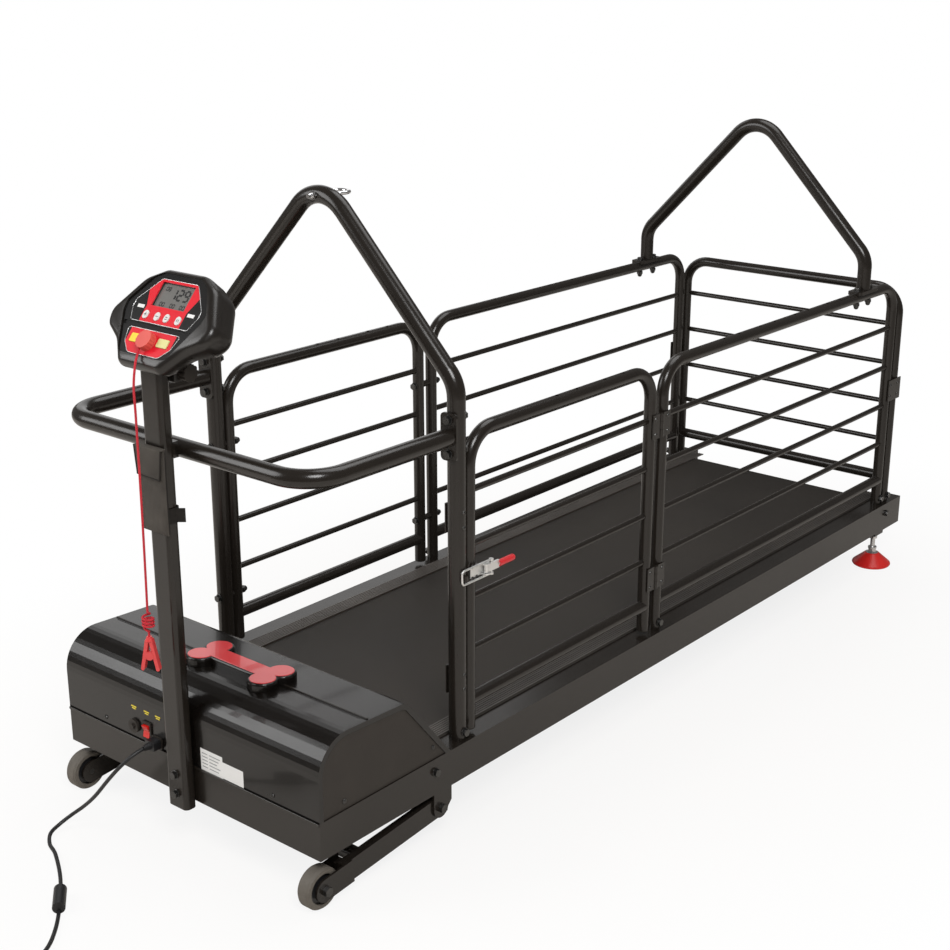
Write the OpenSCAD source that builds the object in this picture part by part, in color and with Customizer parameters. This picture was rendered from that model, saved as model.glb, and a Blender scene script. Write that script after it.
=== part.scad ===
// Dog treadmill: running deck in a railed frame with fence panels, a gate, two arches and a console.
// Units are millimetres. +Z is up, -Y is the console end, +X is the gate side, the floor is z = 0.

/* [Base frame] */
// Length of the side rails
frame_len = 2120; // [2040:5:2300]
// Width over the side rails
frame_w = 662; // [640:2:720]
// Height of the rails and the front plate
rail_h = 70; // [66:1:84]
// Width of a rail
rail_w = 46; // [42:1:50]
// Wall of a rail
rail_wall = 2.5; // [1.5:0.5:4]
// Height of the rails above the floor
ground = 96; // [94:1:104]
// Thickness of the front plate
plate_t = 3; // [2:0.5:5]

/* [Running deck] */
// Width of a foot strip beside the belt
strip_w = 37.5; // [30:0.5:60]
// Thickness of the running belt
belt_t = 2.4; // [1.6:0.2:3]
// Thickness of the deck board
deck_t = 18; // [15:1:20]
// Diameter of the belt rollers
roller_d = 50; // [46:1:54]
// Diameter of the roller axles
axle_d = 16; // [12:1:20]
// Front roller axis behind the front plate
roller_y = 285; // [278:1:292]
// Rear roller axis ahead of the rail ends
roller_back = 80; // [70:1:110]
// Height of a foot strip over the deck
strip_t = 6; // [5:0.5:8]
// Number of ribs on a foot strip
strip_ribs = 6; // [4:1:7]

/* [Hood and drive] */
// Height of the hood above the rails
hood_h = 147; // [135:1:165]
// Length of the hood at its foot
hood_len = 326; // [316:1:336]
// End of the hood's top behind the front plate
hood_flat = 212; // [200:1:225]
// Drop of the hood's top from front to back
hood_drop = 9; // [4:1:14]
// Radius of the hood's nose
hood_r = 68; // [50:1:74]
// Wall of the hood
hood_t = 3; // [2:0.5:4]
// Width of the lip round the hood's ends
lip_w = 10; // [7:0.5:14]
// Length of the badge
badge_len = 216; // [180:1:240]
// Radius of the badge's knobs
knob_r = 28; // [22:1:30]
// Thickness of the badge
badge_t = 17; // [10:1:22]
// Diameter of the drive motor
motor_d = 84; // [70:1:90]
// Length of the drive motor
motor_len = 170; // [140:1:185]
// Pitch diameter of the motor pulley
pulley_d = 36; // [28:1:44]
// Pitch diameter of the roller pulley
drive_d = 80; // [66:1:84]

/* [Fence] */
// Diameter of the posts, arches and handlebar
post_d = 32; // [28:1:36]
// Wall of every tube
tube_wall = 1.8; // [1.2:0.2:2.6]
// Front posts behind the front plate
post_y = 372; // [366:1:378]
// Height of the arches on the tube's centre line
arch_top = 1111; // [1060:1:1150]
// Slope of the arch legs
arch_slope = 46; // [40:0.5:48]
// Bend radius at the apex of an arch
apex_r = 74; // [60:1:90]
// Bend radius at the shoulders of an arch
shoulder_r = 60; // [50:1:80]
// Rear arch ahead of the rail ends
arch_back = 262; // [240:1:290]
// Diameter of the panel frames
panel_d = 25; // [23:1:28]
// Diameter of the thin bars
bar_d = 12; // [10:1:14]
// Height of the side panels' top tube
panel_top = 733; // [720:1:750]
// Height of the tail panel's top tube
tail_top = 718; // [712:1:730]
// Height of the upper thin bar
bar_top = 628; // [615:1:635]
// Spacing of the thin bars
bar_pitch = 100; // [94:1:103]
// Height of the bottom tube
bottom_z = 230; // [225:1:240]
// Bend radius of the panel frames
panel_r = 62; // [50:1:70]
// Gate's front upright behind the front plate
gate_y = 402; // [400:1:408]
// Hinge line behind the front plate
hinge_y = 983; // [960:1:1000]
// Hinge line to an upright's centre
hinge_gap = 21.5; // [20:0.5:24]
// Side panels' rear upright ahead of the rail ends
panel_back = 97; // [96:1:100]
// Tail panel ahead of the rail ends
tail_back = 59; // [56:1:62]
// Spacing of the two bolt holes at an arch foot
bolt_gap = 60; // [50:1:70]
// Diameter of the bolt holes in the top tubes
bolt_hole = 8.4; // [6.4:0.2:10.4]

/* [Handlebar, mast and console] */
// Height of the handlebar
bar_z = 736; // [725:1:745]
// Handlebar's front behind the front plate
bar_y = 27; // [24:1:32]
// Bend radius of the handlebar
bar_r = 70; // [60:1:90]
// Width of the mast
mast_w = 50; // [44:1:56]
// Depth of the mast
mast_d = 25; // [22:1:27]
// Height of the console's centre
console_z = 921; // [905:1:940]
// Reach of the console ahead of the front plate
front_reach = 48; // [42:1:56]
// Tilt of the console's face from upright
console_tilt = 40.5; // [36:0.5:45]
// Depth of the console's back
console_deep = 64; // [58:1:72]
// Diameter of the safety key
key_d = 32; // [26:1:34]
// Travel of the console's keys
key_travel = 1; // [0.6:0.1:1.4]
// Width of the pouch
pouch_w = 70; // [60:1:84]
// Depth of the pouch
pouch_t = 14; // [12:1:22]

/* [Lift frame, wheels and feet] */
// Diameter of the wheels
wheel_d = 75; // [68:1:80]
// Width of the wheels
wheel_w = 26; // [20:1:27]
// Wheel axle behind the front plate
wheel_y = 10; // [6:1:14]
// Lift pivot behind the front plate
pivot_y = 300; // [292:1:308]
// Height of the lift pivot
pivot_z = 63; // [60:1:66]
// Depth of the lift arms
arm_h = 40; // [34:1:44]
// Thickness of the lift arms
arm_t = 16; // [12:1:17]
// Diameter of the lift frame's cross tube
cross_d = 28; // [24:1:32]
// Diameter of the foot pads
pad_d = 97; // [80:1:105]
// Height of the foot pads
pad_h = 32; // [24:1:36]
// Foot studs ahead of the rail ends
foot_back = 92; // [85:1:110]
// Diameter of the foot studs
stud_d = 12; // [10:1:14]

/* [Latch] */
// Height of the latch
latch_z = 481; // [478:1:484]
// Latch pivot behind the front plate
latch_y = 428; // [425:1:432]
// Lever's pivot to the bail's pivot
latch_arm = 14; // [13:1:17]
// Diameter of the grip
grip_d = 12; // [10:0.5:13]

/* [Cords] */
// Diameter of the mains lead
lead_d = 7; // [6:0.5:7.5]
// Diameter of the lanyard
lanyard_d = 4; // [4:0.5:5.5]

/* [Hidden] */
$fn = 48;
run_fit = 0.05;
seat = 0.3;
console_rim = [[46, 133], [86, 111], [128, 42], [120, 17], [82, -6], [50, -45]];
console_mid = [0, 42];
rim_inset = 1.5;
rim_rise = 0.5;
chin = console_rim[5] - rim_inset * unit(console_rim[5] - console_mid);
console_y = rim_rise * cos(console_tilt) - chin.y * sin(console_tilt) - front_reach;
pouch_reach = mast_d + pouch_t;
y_zero = -(frame_len - max(pouch_reach, front_reach)) / 2;
function yd(d) = y_zero + d;

rail_top = ground + rail_h;
half_w = frame_w / 2;
rail_in = half_w - rail_w;
rail_x = half_w - rail_w / 2;
rail_floor = ground + rail_wall;
post_spigot = 26;
free_end = rail_top + 11;

deck_top = rail_top - 1;
roller_z = deck_top - roller_d / 2;
belt_gap = seat;
rear_roller_y = frame_len - roller_back;
roller_half = rail_in - 25;
pulley_x = rail_in - 13;
pulley_w = 18;
strip_in = rail_in - 1 - strip_w;
belt_w = 2 * (strip_in - 1.5);
strip_end = 34;
deck_front = roller_y + drive_d / 2 + 9;
deck_end = rear_roller_y - roller_d / 2 - 12;
cross_n = 4;
cross_len = 40;
cross_h = 24;

hood_slope = atan(hood_drop / hood_flat);
tray_t = 4;
tray_y = 90;
tray_len = 140;
tray_lip = 12;
tray_z = ground + tray_t;
motor_y = 172;
motor_z = tray_z + motor_d / 2 + 7;
motor_end = pulley_x - pulley_w / 2 - 6;
jack_x = -150;
jack_y = 122;
jack_d = 38;
jack_top = rail_top + hood_h - 32;
badge_x = 28;
badge_y = 112;
fit_x = -118;
rocker_x = -101;
breaker_x = -136;
inlet_x = -74;
fit_z = rail_top + 25;
inlet_z = rail_top + 12;

apex_z = arch_top + apex_r * (1 / cos(arch_slope) - 1);
shoulder_z = apex_z - rail_x * tan(arch_slope);
foot_t = 8;
gate_end_y = hinge_y - hinge_gap;
panel_y = hinge_y + hinge_gap;
arch_y = frame_len - arch_back;
panel_end_y = frame_len - panel_back;
tail_y = frame_len - tail_back;
bars = [for (i = [0:3]) bar_top - i * bar_pitch];
hole_pitch = 150;
hinge_zs = [290, 616];
hinge_h = 50;
hinge_r = 5;
hinge_x = rail_x + panel_d / 2 + 1.25;
stop_zs = [280, 585];
stop_h = 54;
spacer_zs = [276, 593];
flange_h = 84;
flange_t = 5;

mast_foot = ground - 10;
mast_top = console_z - 34;
panel_sink = 2;
key_v = 45;
side_key_u = 33;
key_up = 1.6;
knob_x = 25;
knob_y = 28;
knob_z = console_z - 54;
knob_d = 30;

wheel_z = wheel_d / 2;
bracket_t = 4;
arm_gap = 0.5;
arm_out = half_w - bracket_t - arm_gap;
arm_in = arm_out - arm_t;
wheel_x = arm_out - 2 - wheel_w / 2;
arm_dip = atan((pivot_z - wheel_z) / (pivot_y - wheel_y));
cross_y = 110;
cross_z = pivot_z - (pivot_y - cross_y) * tan(arm_dip);
bolt_r = 5;
bolt_end = half_w + 8;
stud_top = ground + 24;
block_h = 14;

latch_x = rail_x + panel_d / 2;
latch_px = latch_x + 7;
bail_r = 2;
bail_half = 13;
tab_y = post_y - 6;
tab_t = 4;
tab_h = 10;
bail_y = tab_y - bail_r - 1;

// Lead from the inlet to the coil, and the lanyard from the key to its clip
lead_z = lead_d / 2 + 0.2;
connector_len = 16;
relief_len = 14;
lead_from = 3.35 + connector_len + relief_len + 0.95;
lead_pts = [
  [inlet_x, yd(-lead_from), inlet_z], [-76, yd(-46), inlet_z - 3], [-81, yd(-61), inlet_z - 11],
  [-92, yd(-77), 150], [-116, yd(-82), 122], [-152, yd(-87), 79], [-187, yd(-88), 46], [-214, yd(-98), 22],
  [-223, yd(-118), 9], [-216, yd(-143), lead_z + 0.6], [-188, yd(-165), lead_z], [-152, yd(-179), lead_z],
  [-86, yd(-217), lead_z], [-24, yd(-263), lead_z], [34, yd(-314), lead_z], [72, yd(-363), lead_z]
];
ferrite_at = [-24, yd(-263), lead_z];
coil_c = [150, yd(-452)];
coil_turns = 2;
coil_step = lead_d + 0.7;
coil_out = 46;
coil_a = 200;
coil_rise = lead_d + 0.7;
hank_turns = 4;
hank_r = 9;
hank_c = [6, -64];
hank_top = 466;
clip_top = 428;
clip_h = 62;
clip_half = 18;
clip_turn = 30;

// Plane helpers: the local XY plane set up as the world's XZ or YZ plane
module on_xz(y) {
  translate([0, y, 0]) rotate([90, 0, 0]) children();
}

module on_yz(x) {
  translate([x, 0, 0]) rotate([90, 0, 90]) children();
}

// Console frame: x across, y up the face, z out of the face
module on_console() {
  translate([0, yd(console_y), console_z]) rotate([90 - console_tilt, 0, 0]) children();
}

module both_sides() {
  children();
  mirror([1, 0, 0]) children();
}

// Tube bent in one plane along corner points p with bend radii r; a slanting bend is a hair thicker
// than the straights, which run on into it
bend_step = 0.3;
function unit(v) = v / norm(v);
function turn_at(p, i) =
  let (u = unit(p[i] - p[i - 1]), v = unit(p[i + 1] - p[i]))
  atan2(u.x * v.y - u.y * v.x, u * v);
function back_off(p, r, i) =
  (i == 0 || i == len(p) - 1) ? 0 : r[i] * tan(abs(turn_at(p, i)) / 2);

function run_on(p, r, i, step) = (i == 0 || i == len(p) - 1) ? 0 : sqrt(r[i] * step / 2);

module bent_rod(p, r, d, step = 0) {
  n = len(p) - 1;
  for (i = [0:n - 1]) {
    u = unit(p[i + 1] - p[i]);
    a = p[i] + u * (back_off(p, r, i) - run_on(p, r, i, step));
    b = p[i + 1] - u * (back_off(p, r, i + 1) - run_on(p, r, i + 1, step));
    translate([a.x, a.y, 0]) rotate([0, 90, atan2(u.y, u.x)]) cylinder(h = norm(b - a), d = d);
  }
  for (i = [1:n - 1]) {
    t = turn_at(p, i);
    s = t > 0 ? 1 : -1;
    u = unit(p[i] - p[i - 1]);
    v = unit(p[i + 1] - p[i]);
    c = p[i] - u * back_off(p, r, i) + s * r[i] * [-u.y, u.x];
    a0 = s > 0 ? atan2(-u.x, u.y) : atan2(v.x, -v.y);
    translate([c.x, c.y, 0]) rotate([0, 0, a0])
      rotate_extrude(angle = abs(t)) translate([r[i], 0]) circle(d = d + step);
  }
}

module bent_tube(p, r, d, step = 0) {
  n = len(p) - 1;
  q = [for (i = [0:n]) i == 0 ? p[0] - unit(p[1] - p[0])
    : i == n ? p[n] + unit(p[n] - p[n - 1]) : p[i]];
  difference() {
    bent_rod(p, r, d, step);
    bent_rod(q, r, d - 2 * tube_wall, step);
  }
}

// Closed outline through points p with corner radii r
function rounded(p, r, n = 8) = [
  for (i = [0:len(p) - 1])
    let (k = len(p), b = p[i], u = unit(b - p[(i + k - 1) % k]), v = unit(p[(i + 1) % k] - b),
      t = atan2(u.x * v.y - u.y * v.x, u * v), s = t > 0 ? 1 : -1,
      o = b - u * r[i] * tan(abs(t) / 2) + s * r[i] * [-u.y, u.x], a0 = atan2(-s * u.x, s * u.y))
    each r[i] == 0 ? [b] : [for (j = [0:n]) o + r[i] * [cos(a0 + t * j / n), sin(a0 + t * j / n)]]
];

function mirrored(p) = concat(p, [for (i = [len(p) - 1:-1:0]) [-p[i].x, p[i].y]]);

module round_rect(w, h, r) {
  square([w - 2 * r, h], center = true);
  square([w, h - 2 * r], center = true);
  for (sx = [-1, 1], sy = [-1, 1]) translate([sx * (w / 2 - r), sy * (h / 2 - r)]) circle(r);
}

module slot_2d(len, d) {
  square([len - d, d], center = true);
  for (s = [-1, 1]) translate([s * (len - d) / 2, 0]) circle(d = d);
}

// Smooth path through hand-set points, and a tube swept along a path
function spline(p, k) = [
  for (i = [0:len(p) - 2], j = [0:k - 1])
    let (a = p[max(i - 1, 0)], b = p[i], c = p[i + 1], d = p[min(i + 2, len(p) - 1)], t = j / k)
    0.5 * (2 * b + (c - a) * t + (2 * a - 5 * b + 4 * c - d) * t * t + (3 * b - a - 3 * c + d) * t * t * t),
  p[len(p) - 1]
];

function tangent(p, i) = unit(p[min(i + 1, len(p) - 1)] - p[max(i - 1, 0)]);
function across(t, v) = unit(v - (v * t) * t);

module sweep(p, d, sides) {
  n = len(p);
  f = [for (i = 0, v = across(tangent(p, 0), [1, 0.01, 0.02]); i < n;
    i = i + 1, v = across(tangent(p, min(i, n - 1)), v)) v];
  pts = [for (i = [0:n - 1], s = [0:sides - 1])
    let (w = cross(tangent(p, i), f[i]), a = 360 * s / sides)
    p[i] + d / 2 * (cos(a) * f[i] + sin(a) * w)];
  faces = concat(
    [[for (s = [0:sides - 1]) s]],
    [for (i = [0:n - 2], s = [0:sides - 1], h = [0, 1])
      let (a = i * sides + s, b = i * sides + (s + 1) % sides)
      h == 0 ? [a, a + sides, b + sides] : [a, b + sides, b]],
    [[for (s = [sides - 1:-1:0]) (n - 1) * sides + s]]);
  polyhedron(pts, faces);
}

// Base frame
rail_feet_near = [post_y, panel_y, panel_end_y, tail_y];

module side_rails() {
  color("#2b2b2d") both_sides() {
    difference() {
      union() {
        translate([rail_in, yd(plate_t), ground]) cube([rail_w, frame_len - plate_t, rail_h]);
        translate([rail_x, yd(frame_len - foot_back), ground - block_h / 2])
          cube([30, 44, block_h], center = true);
        for (d = rail_feet_near)
          translate([rail_x, yd(d), rail_top])
            cylinder(h = post_spigot, d = (d == post_y ? post_d : panel_d) - 2 * tube_wall - 0.6);
      }
      translate([rail_in + rail_wall, yd(plate_t) - 1, ground + rail_wall])
        cube([rail_w - 2 * rail_wall, frame_len - plate_t - rail_wall + 1, rail_h - 2 * rail_wall]);
      translate([rail_x, yd(frame_len - foot_back), ground - block_h - 1])
        cylinder(h = block_h + rail_wall + 2, d = stud_d + 2 * run_fit);
    }
  }
}

module front_plate() {
  color("#2b2b2d") {
    translate([-half_w, yd(0), ground]) cube([frame_w, plate_t, rail_h]);
    translate([-rail_in + 1, yd(plate_t), ground]) cube([2 * rail_in - 2, 18, plate_t]);
  }
}

// Box tubes welded between the rails under the deck
module cross_members() {
  color("#2b2b2d")
    for (i = [0:cross_n - 1])
      let (d = deck_front + 140 + i * (deck_end - deck_front - 280) / (cross_n - 1))
      difference() {
        translate([-rail_in, yd(d) - cross_len / 2, deck_top - deck_t - cross_h])
          cube([2 * rail_in, cross_len, cross_h]);
        translate([-rail_in - 1, yd(d) - cross_len / 2 + 2, deck_top - deck_t - cross_h + 2])
          cube([2 * rail_in + 2, cross_len - 4, cross_h - 4]);
      }
}

// Folded pan between the rails that carries the motor, the lift jack and the control box
module motor_tray() {
  color("#3a3a3d") difference() {
    union() {
      translate([-rail_in, yd(tray_y), ground]) cube([2 * rail_in, tray_len, tray_t]);
      for (d = [tray_y, tray_y + tray_len - tray_t]) translate([-rail_in, yd(d), ground])
        cube([2 * rail_in, tray_t, tray_lip]);
    }
    translate([jack_x, yd(jack_y), ground - 1]) cylinder(h = tray_t + 2, d = jack_d - 8);
  }
}

// Ribbed extrusions beside the belt
module foot_strips() {
  rib = strip_w / (2 * strip_ribs + 1);
  color("#4a423d") both_sides()
    translate([0, yd(frame_len - strip_end), 0])
      rotate([90, 0, 0]) linear_extrude(frame_len - strip_end - hood_len - 2) {
        translate([strip_in, deck_top + belt_t + 1]) square([strip_w, strip_t - belt_t - 2.4]);
        translate([strip_in + 6, deck_top]) square([strip_w - 6, strip_t - 1.4]);
        for (i = [0:strip_ribs])
          translate([strip_in + 2 * i * rib, deck_top + strip_t - 2]) square([rib, 2]);
      }
}

module deck_board() {
  color("#6b5a45")
    translate([-rail_in + 1, yd(deck_front), deck_top - deck_t])
      cube([2 * rail_in - 2, deck_end - deck_front, deck_t]);
}

module belt_loop(r) {
  translate([yd(roller_y), roller_z - r]) square([rear_roller_y - roller_y, 2 * r]);
  for (d = [roller_y, rear_roller_y]) translate([yd(d), roller_z]) circle(r, $fn = 96);
}

module running_belt() {
  color("#1b1b1c") on_yz(-belt_w / 2) linear_extrude(belt_w) difference() {
    belt_loop(roller_d / 2 + belt_gap + belt_t);
    belt_loop(roller_d / 2 + belt_gap);
  }
}

// Crowned steel tubes turning on fixed axles
module roller_body(half) {
  for (s = [-1, 1]) translate([s * half, 0, 0]) rotate([0, -s * 90, 0]) difference() {
    cylinder(h = 26, d = roller_d - 3);
    translate([0, 0, -1]) cylinder(h = 28, d = axle_d + 2 * run_fit);
  }
  rotate([0, 90, 0]) difference() {
    cylinder(h = 2 * half, d = roller_d, center = true, $fn = 96);
    cylinder(h = 2 * half + 2, d = roller_d - 6, center = true);
  }
}

module grooved_pulley(d, w, n) {
  pitch = w / (n + 1);
  rotate([0, 90, 0]) rotate_extrude() polygon(concat(
    [[0, -w / 2], [d / 2 + 3, -w / 2], [d / 2 + 3, -w / 2 + 1.2]],
    [for (i = [0:2 * n]) [d / 2 - (i % 2 == 0 ? 0 : 1.4), -w / 2 + pitch * (i + 1) / 2]],
    [[d / 2 + 3, w / 2 - 1.2], [d / 2 + 3, w / 2], [0, w / 2]]));
}

module front_roller() {
  color("#8c8c8c") translate([0, yd(roller_y), roller_z]) difference() {
    union() {
      roller_body(roller_half);
      translate([pulley_x, 0, 0]) grooved_pulley(drive_d, pulley_w, 6);
      translate([roller_half - 1, 0, 0]) rotate([0, 90, 0]) cylinder(h = pulley_x - roller_half, d = 34);
    }
    translate([-1, 0, 0]) rotate([0, 90, 0]) cylinder(h = rail_in, d = axle_d + 2 * run_fit);
  }
}

module rear_roller() {
  color("#8c8c8c") translate([0, yd(rear_roller_y), roller_z]) roller_body(roller_half);
}

module roller_axles() {
  color("#a0a0a0") for (d = [roller_y, rear_roller_y])
    translate([-rail_in, yd(d), roller_z]) rotate([0, 90, 0]) cylinder(h = 2 * rail_in, d = axle_d);
}

// Drive
module drive_motor() {
  color("#454548") translate([0, yd(motor_y), motor_z]) difference() {
    union() {
      translate([motor_end - motor_len, 0, 0]) rotate([0, 90, 0]) cylinder(h = motor_len, d = motor_d);
      for (x = [motor_end - motor_len - 14, motor_end - 12])
        translate([x, 0, 0]) rotate([0, 90, 0]) cylinder(h = 14, d = motor_d - 10);
      for (x = [motor_end - motor_len + 20, motor_end - 60])
        translate([x, -motor_d / 2 + 6, -(motor_z - tray_z)]) cube([30, motor_d - 12, 20]);
    }
    translate([motor_end - 30, 0, 0]) rotate([0, 90, 0]) cylinder(h = 40, d = 12 + 2 * run_fit);
  }
}

module motor_pulley() {
  color("#8c8c8c") translate([0, yd(motor_y), motor_z]) {
    translate([pulley_x, 0, 0]) grooved_pulley(pulley_d, pulley_w, 6);
    translate([motor_end - 28, 0, 0]) rotate([0, 90, 0]) cylinder(h = pulley_x - motor_end + 28, d = 12);
  }
}

// Ribbed belt round the two pulleys, drawn as the tangents between their pitch circles
module belt_wrap(extra) {
  a = [yd(motor_y), motor_z];
  b = [yd(roller_y), roller_z];
  ra = pulley_d / 2 + extra;
  rb = drive_d / 2 + extra;
  w = atan2(b.y - a.y, b.x - a.x);
  k = acos((ra - rb) / norm(b - a));
  translate(a) circle(ra);
  translate(b) circle(rb, $fn = 96);
  polygon([a + ra * [cos(w + k), sin(w + k)], a + ra * [cos(w - k), sin(w - k)],
    b + rb * [cos(w - k), sin(w - k)], b + rb * [cos(w + k), sin(w + k)]]);
}

module drive_belt() {
  color("#1b1b1c") on_yz(pulley_x - pulley_w / 2 + 2) linear_extrude(pulley_w - 4) difference() {
    belt_wrap(belt_gap + 2.2);
    belt_wrap(belt_gap);
  }
}

module control_box() {
  color("#55585c") translate([-rail_in + 14, yd(150), tray_z]) {
    cube([96, 66, 30]);
    for (i = [0:7]) translate([4 + i * 12, 0, 30]) cube([4, 66, 18]);
  }
}

// Lift jack: gear head and guide tube stand on the tray, the push rod bears on the lift frame's cross tube
module incline_actuator() {
  color("#303234") translate([jack_x, yd(jack_y), 0]) difference() {
    union() {
      translate([0, 0, tray_z]) cylinder(h = jack_top - tray_z, d = jack_d);
      translate([-34, -24, jack_top - 46]) cube([68, 48, 46]);
      translate([14, 0, jack_top - 124]) translate([jack_d / 2, 0, 0]) cylinder(h = 78, d = 36);
      translate([-27, -27, tray_z]) cube([54, 54, 6]);
    }
    translate([0, 0, ground - 1]) cylinder(h = jack_top - ground - 24, d = jack_d - 12);
  }
}

module incline_rod() {
  color("#9a9a9a") translate([jack_x, yd(jack_y), cross_z + cross_d / 2 + 0.5]) {
    cylinder(h = 130, d = jack_d - 12 - 1);
    translate([-16, -22, 0]) cube([32, 46, 6]);
  }
}

// Lift frame
module arm_plate(r, back) {
  translate([yd(wheel_y), wheel_z]) rotate(arm_dip) {
    translate([0, -r]) square([back, 2 * r]);
    circle(r);
  }
}

module lift_frame() {
  reach = norm([pivot_y - wheel_y, pivot_z - wheel_z]);
  color("#2b2b2d") {
    both_sides() difference() {
      union() {
        on_yz(arm_in) linear_extrude(arm_t) translate([yd(wheel_y), wheel_z]) rotate(arm_dip) {
          translate([wheel_d / 2 + 9, -arm_h / 2]) square([reach - wheel_d / 2 - 9, arm_h]);
          translate([reach, 0]) circle(arm_h / 2);
        }
        on_yz(arm_out) linear_extrude(bracket_t) arm_plate(21, 66);
        on_yz(wheel_x - wheel_w / 2 - 2 - bracket_t) linear_extrude(bracket_t) arm_plate(21, 66);
        on_yz(wheel_x - wheel_w / 2 - 2 - bracket_t)
          linear_extrude(arm_in - wheel_x + wheel_w / 2 + 4 + bracket_t)
          translate([yd(wheel_y), wheel_z]) rotate(arm_dip)
            translate([wheel_d / 2 + 10, -arm_h / 2 + 4]) square([18, arm_h - 8]);
      }
      translate([arm_in - 1, yd(pivot_y), pivot_z]) rotate([0, 90, 0])
        cylinder(h = arm_t + 2, r = bolt_r + run_fit);
      translate([arm_in - 40, yd(wheel_y), wheel_z]) rotate([0, 90, 0])
        cylinder(h = 80, r = bolt_r + run_fit);
    }
    translate([0, yd(cross_y), cross_z]) rotate([0, 90, 0]) difference() {
      cylinder(h = 2 * arm_in, d = cross_d, center = true);
      cylinder(h = 2 * arm_in + 2, d = cross_d - 2 * tube_wall, center = true);
    }
  }
}

// Hexagon-head bolts: wheel axles and lift pivots
module lift_bolt(from) {
  rotate([0, 90, 0]) {
    translate([0, 0, from]) cylinder(h = arm_out + bracket_t - from + 0.2, r = bolt_r);
    translate([0, 0, arm_out + bracket_t + 0.2]) cylinder(h = bolt_end - arm_out - bracket_t - 0.2, r = 9, $fn = 6);
  }
}

module lift_bolts() {
  color("#b8b8b8") both_sides() {
    translate([0, yd(wheel_y), wheel_z]) lift_bolt(wheel_x - wheel_w / 2 - 2 - bracket_t);
    translate([0, yd(pivot_y), pivot_z]) {
      rotate([0, 90, 0]) translate([0, 0, arm_in - arm_gap - bracket_t])
        cylinder(h = half_w + 0.3 - arm_in + arm_gap + bracket_t, r = bolt_r);
      rotate([0, 90, 0]) translate([0, 0, half_w + 0.3]) cylinder(h = bolt_end - half_w - 0.3, r = 9, $fn = 6);
    }
  }
}

module pivot_brackets() {
  r = arm_h / 2 - 1;
  color("#2b2b2d") both_sides() difference() {
    for (x = [arm_in - arm_gap - bracket_t, half_w - bracket_t])
      on_yz(x) linear_extrude(bracket_t) {
        translate([yd(pivot_y), pivot_z]) circle(r);
        polygon([[yd(pivot_y) - r, pivot_z], [yd(pivot_y) - r, ground], [yd(pivot_y) + 28, ground],
          [yd(pivot_y) + 28, pivot_z + 6], [yd(pivot_y) + 6, pivot_z - r + 1], [yd(pivot_y), pivot_z - r]]);
      }
    translate([arm_in - 10, yd(pivot_y), pivot_z]) rotate([0, 90, 0])
      cylinder(h = arm_t + 40, r = bolt_r + run_fit);
  }
}

// Wheels: solid tyre on a dished hub
module wheel() {
  r = wheel_d / 2;
  w = wheel_w / 2;
  rotate([0, 90, 0]) rotate_extrude($fn = 96)
    polygon([[bolt_r + run_fit, -w - 1], [10, -w - 1], [11, -w + 4], [r - 12, -w + 5], [r - 10, -w], [r - 3, -w],
      [r, -w + 4], [r, w - 4], [r - 3, w], [r - 10, w], [r - 12, w - 5], [11, w - 4], [10, w + 1],
      [bolt_r + run_fit, w + 1]]);
}

module wheel_near() {
  color("#6d665c") translate([wheel_x, yd(wheel_y), wheel_z]) wheel();
}

module wheel_far() {
  color("#6d665c") translate([-wheel_x, yd(wheel_y), wheel_z]) wheel();
}

// Levelling foot: cone pad, stud and lock nuts
module foot() {
  color("#c8201c") rotate_extrude($fn = 96)
    polygon([[0, 0], [pad_d / 2 - 2, 0], [pad_d / 2, 3], [pad_d / 2 - 1, 6], [18, pad_h - 1], [16, pad_h], [0, pad_h]]);
  color("#c0c0c0") {
    cylinder(h = stud_top, d = stud_d);
    translate([0, 0, pad_h - 0.5]) cylinder(h = 12, r = 10.5, $fn = 6);
    translate([0, 0, pad_h + 11]) cylinder(h = 4, r = 11);
    translate([0, 0, ground - block_h - 11]) cylinder(h = 10, r = 11, $fn = 6);
  }
}

module foot_near() {
  translate([rail_x, yd(frame_len - foot_back), 0]) foot();
}

module foot_far() {
  translate([-rail_x, yd(frame_len - foot_back), 0]) foot();
}

// Hood over the motor bay: profile points from the front plate back, heights from the rail top
function hood_side(t, foot) = rounded(
  [[t, foot], [t, hood_h - t], [hood_flat - t * tan((hood_slope + hood_rake) / 2 - hood_slope), hood_h - hood_drop - t],
    [hood_len - t / sin(hood_rake) + foot / tan(hood_rake) * -1, foot]],
  [0, hood_r - t, 20, 0], 12);
hood_rake = atan((hood_h - hood_drop) / (hood_len - hood_flat));

module hood() {
  color("#141416") translate([0, yd(0), rail_top]) difference() {
    union() {
      on_yz(-half_w) linear_extrude(frame_w) difference() {
        polygon(hood_side(0, 0));
        polygon(hood_side(hood_t, -1));
      }
      for (x = [-half_w, half_w - 2]) on_yz(x) linear_extrude(2) difference() {
        polygon(hood_side(0.5, 0));
        polygon(hood_side(lip_w, -1));
      }
    }
    translate([rocker_x - 11, -1, fit_z - rail_top - 15]) cube([22, hood_t + 2, 30]);
    translate([inlet_x - 11.5, -1, inlet_z - rail_top - 8.5]) cube([23, hood_t + 2, 17]);
    translate([breaker_x, -1, fit_z - rail_top]) rotate([-90, 0, 0]) cylinder(h = hood_t + 2, r = 8);
    translate([-belt_w / 2 - 6, hood_flat, -1]) cube([belt_w + 12, hood_len, belt_gap + belt_t + 2.5]);
    for (s = [-1, 1])
      translate([0, badge_y, 0]) rotate([-hood_slope, 0, 0])
        translate([-half_w + 14, s * 5 - 1.2, hood_h - badge_y * tan(hood_slope) - 0.8]) cube([frame_w - 28, 2.4, 3]);
  }
}

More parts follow.
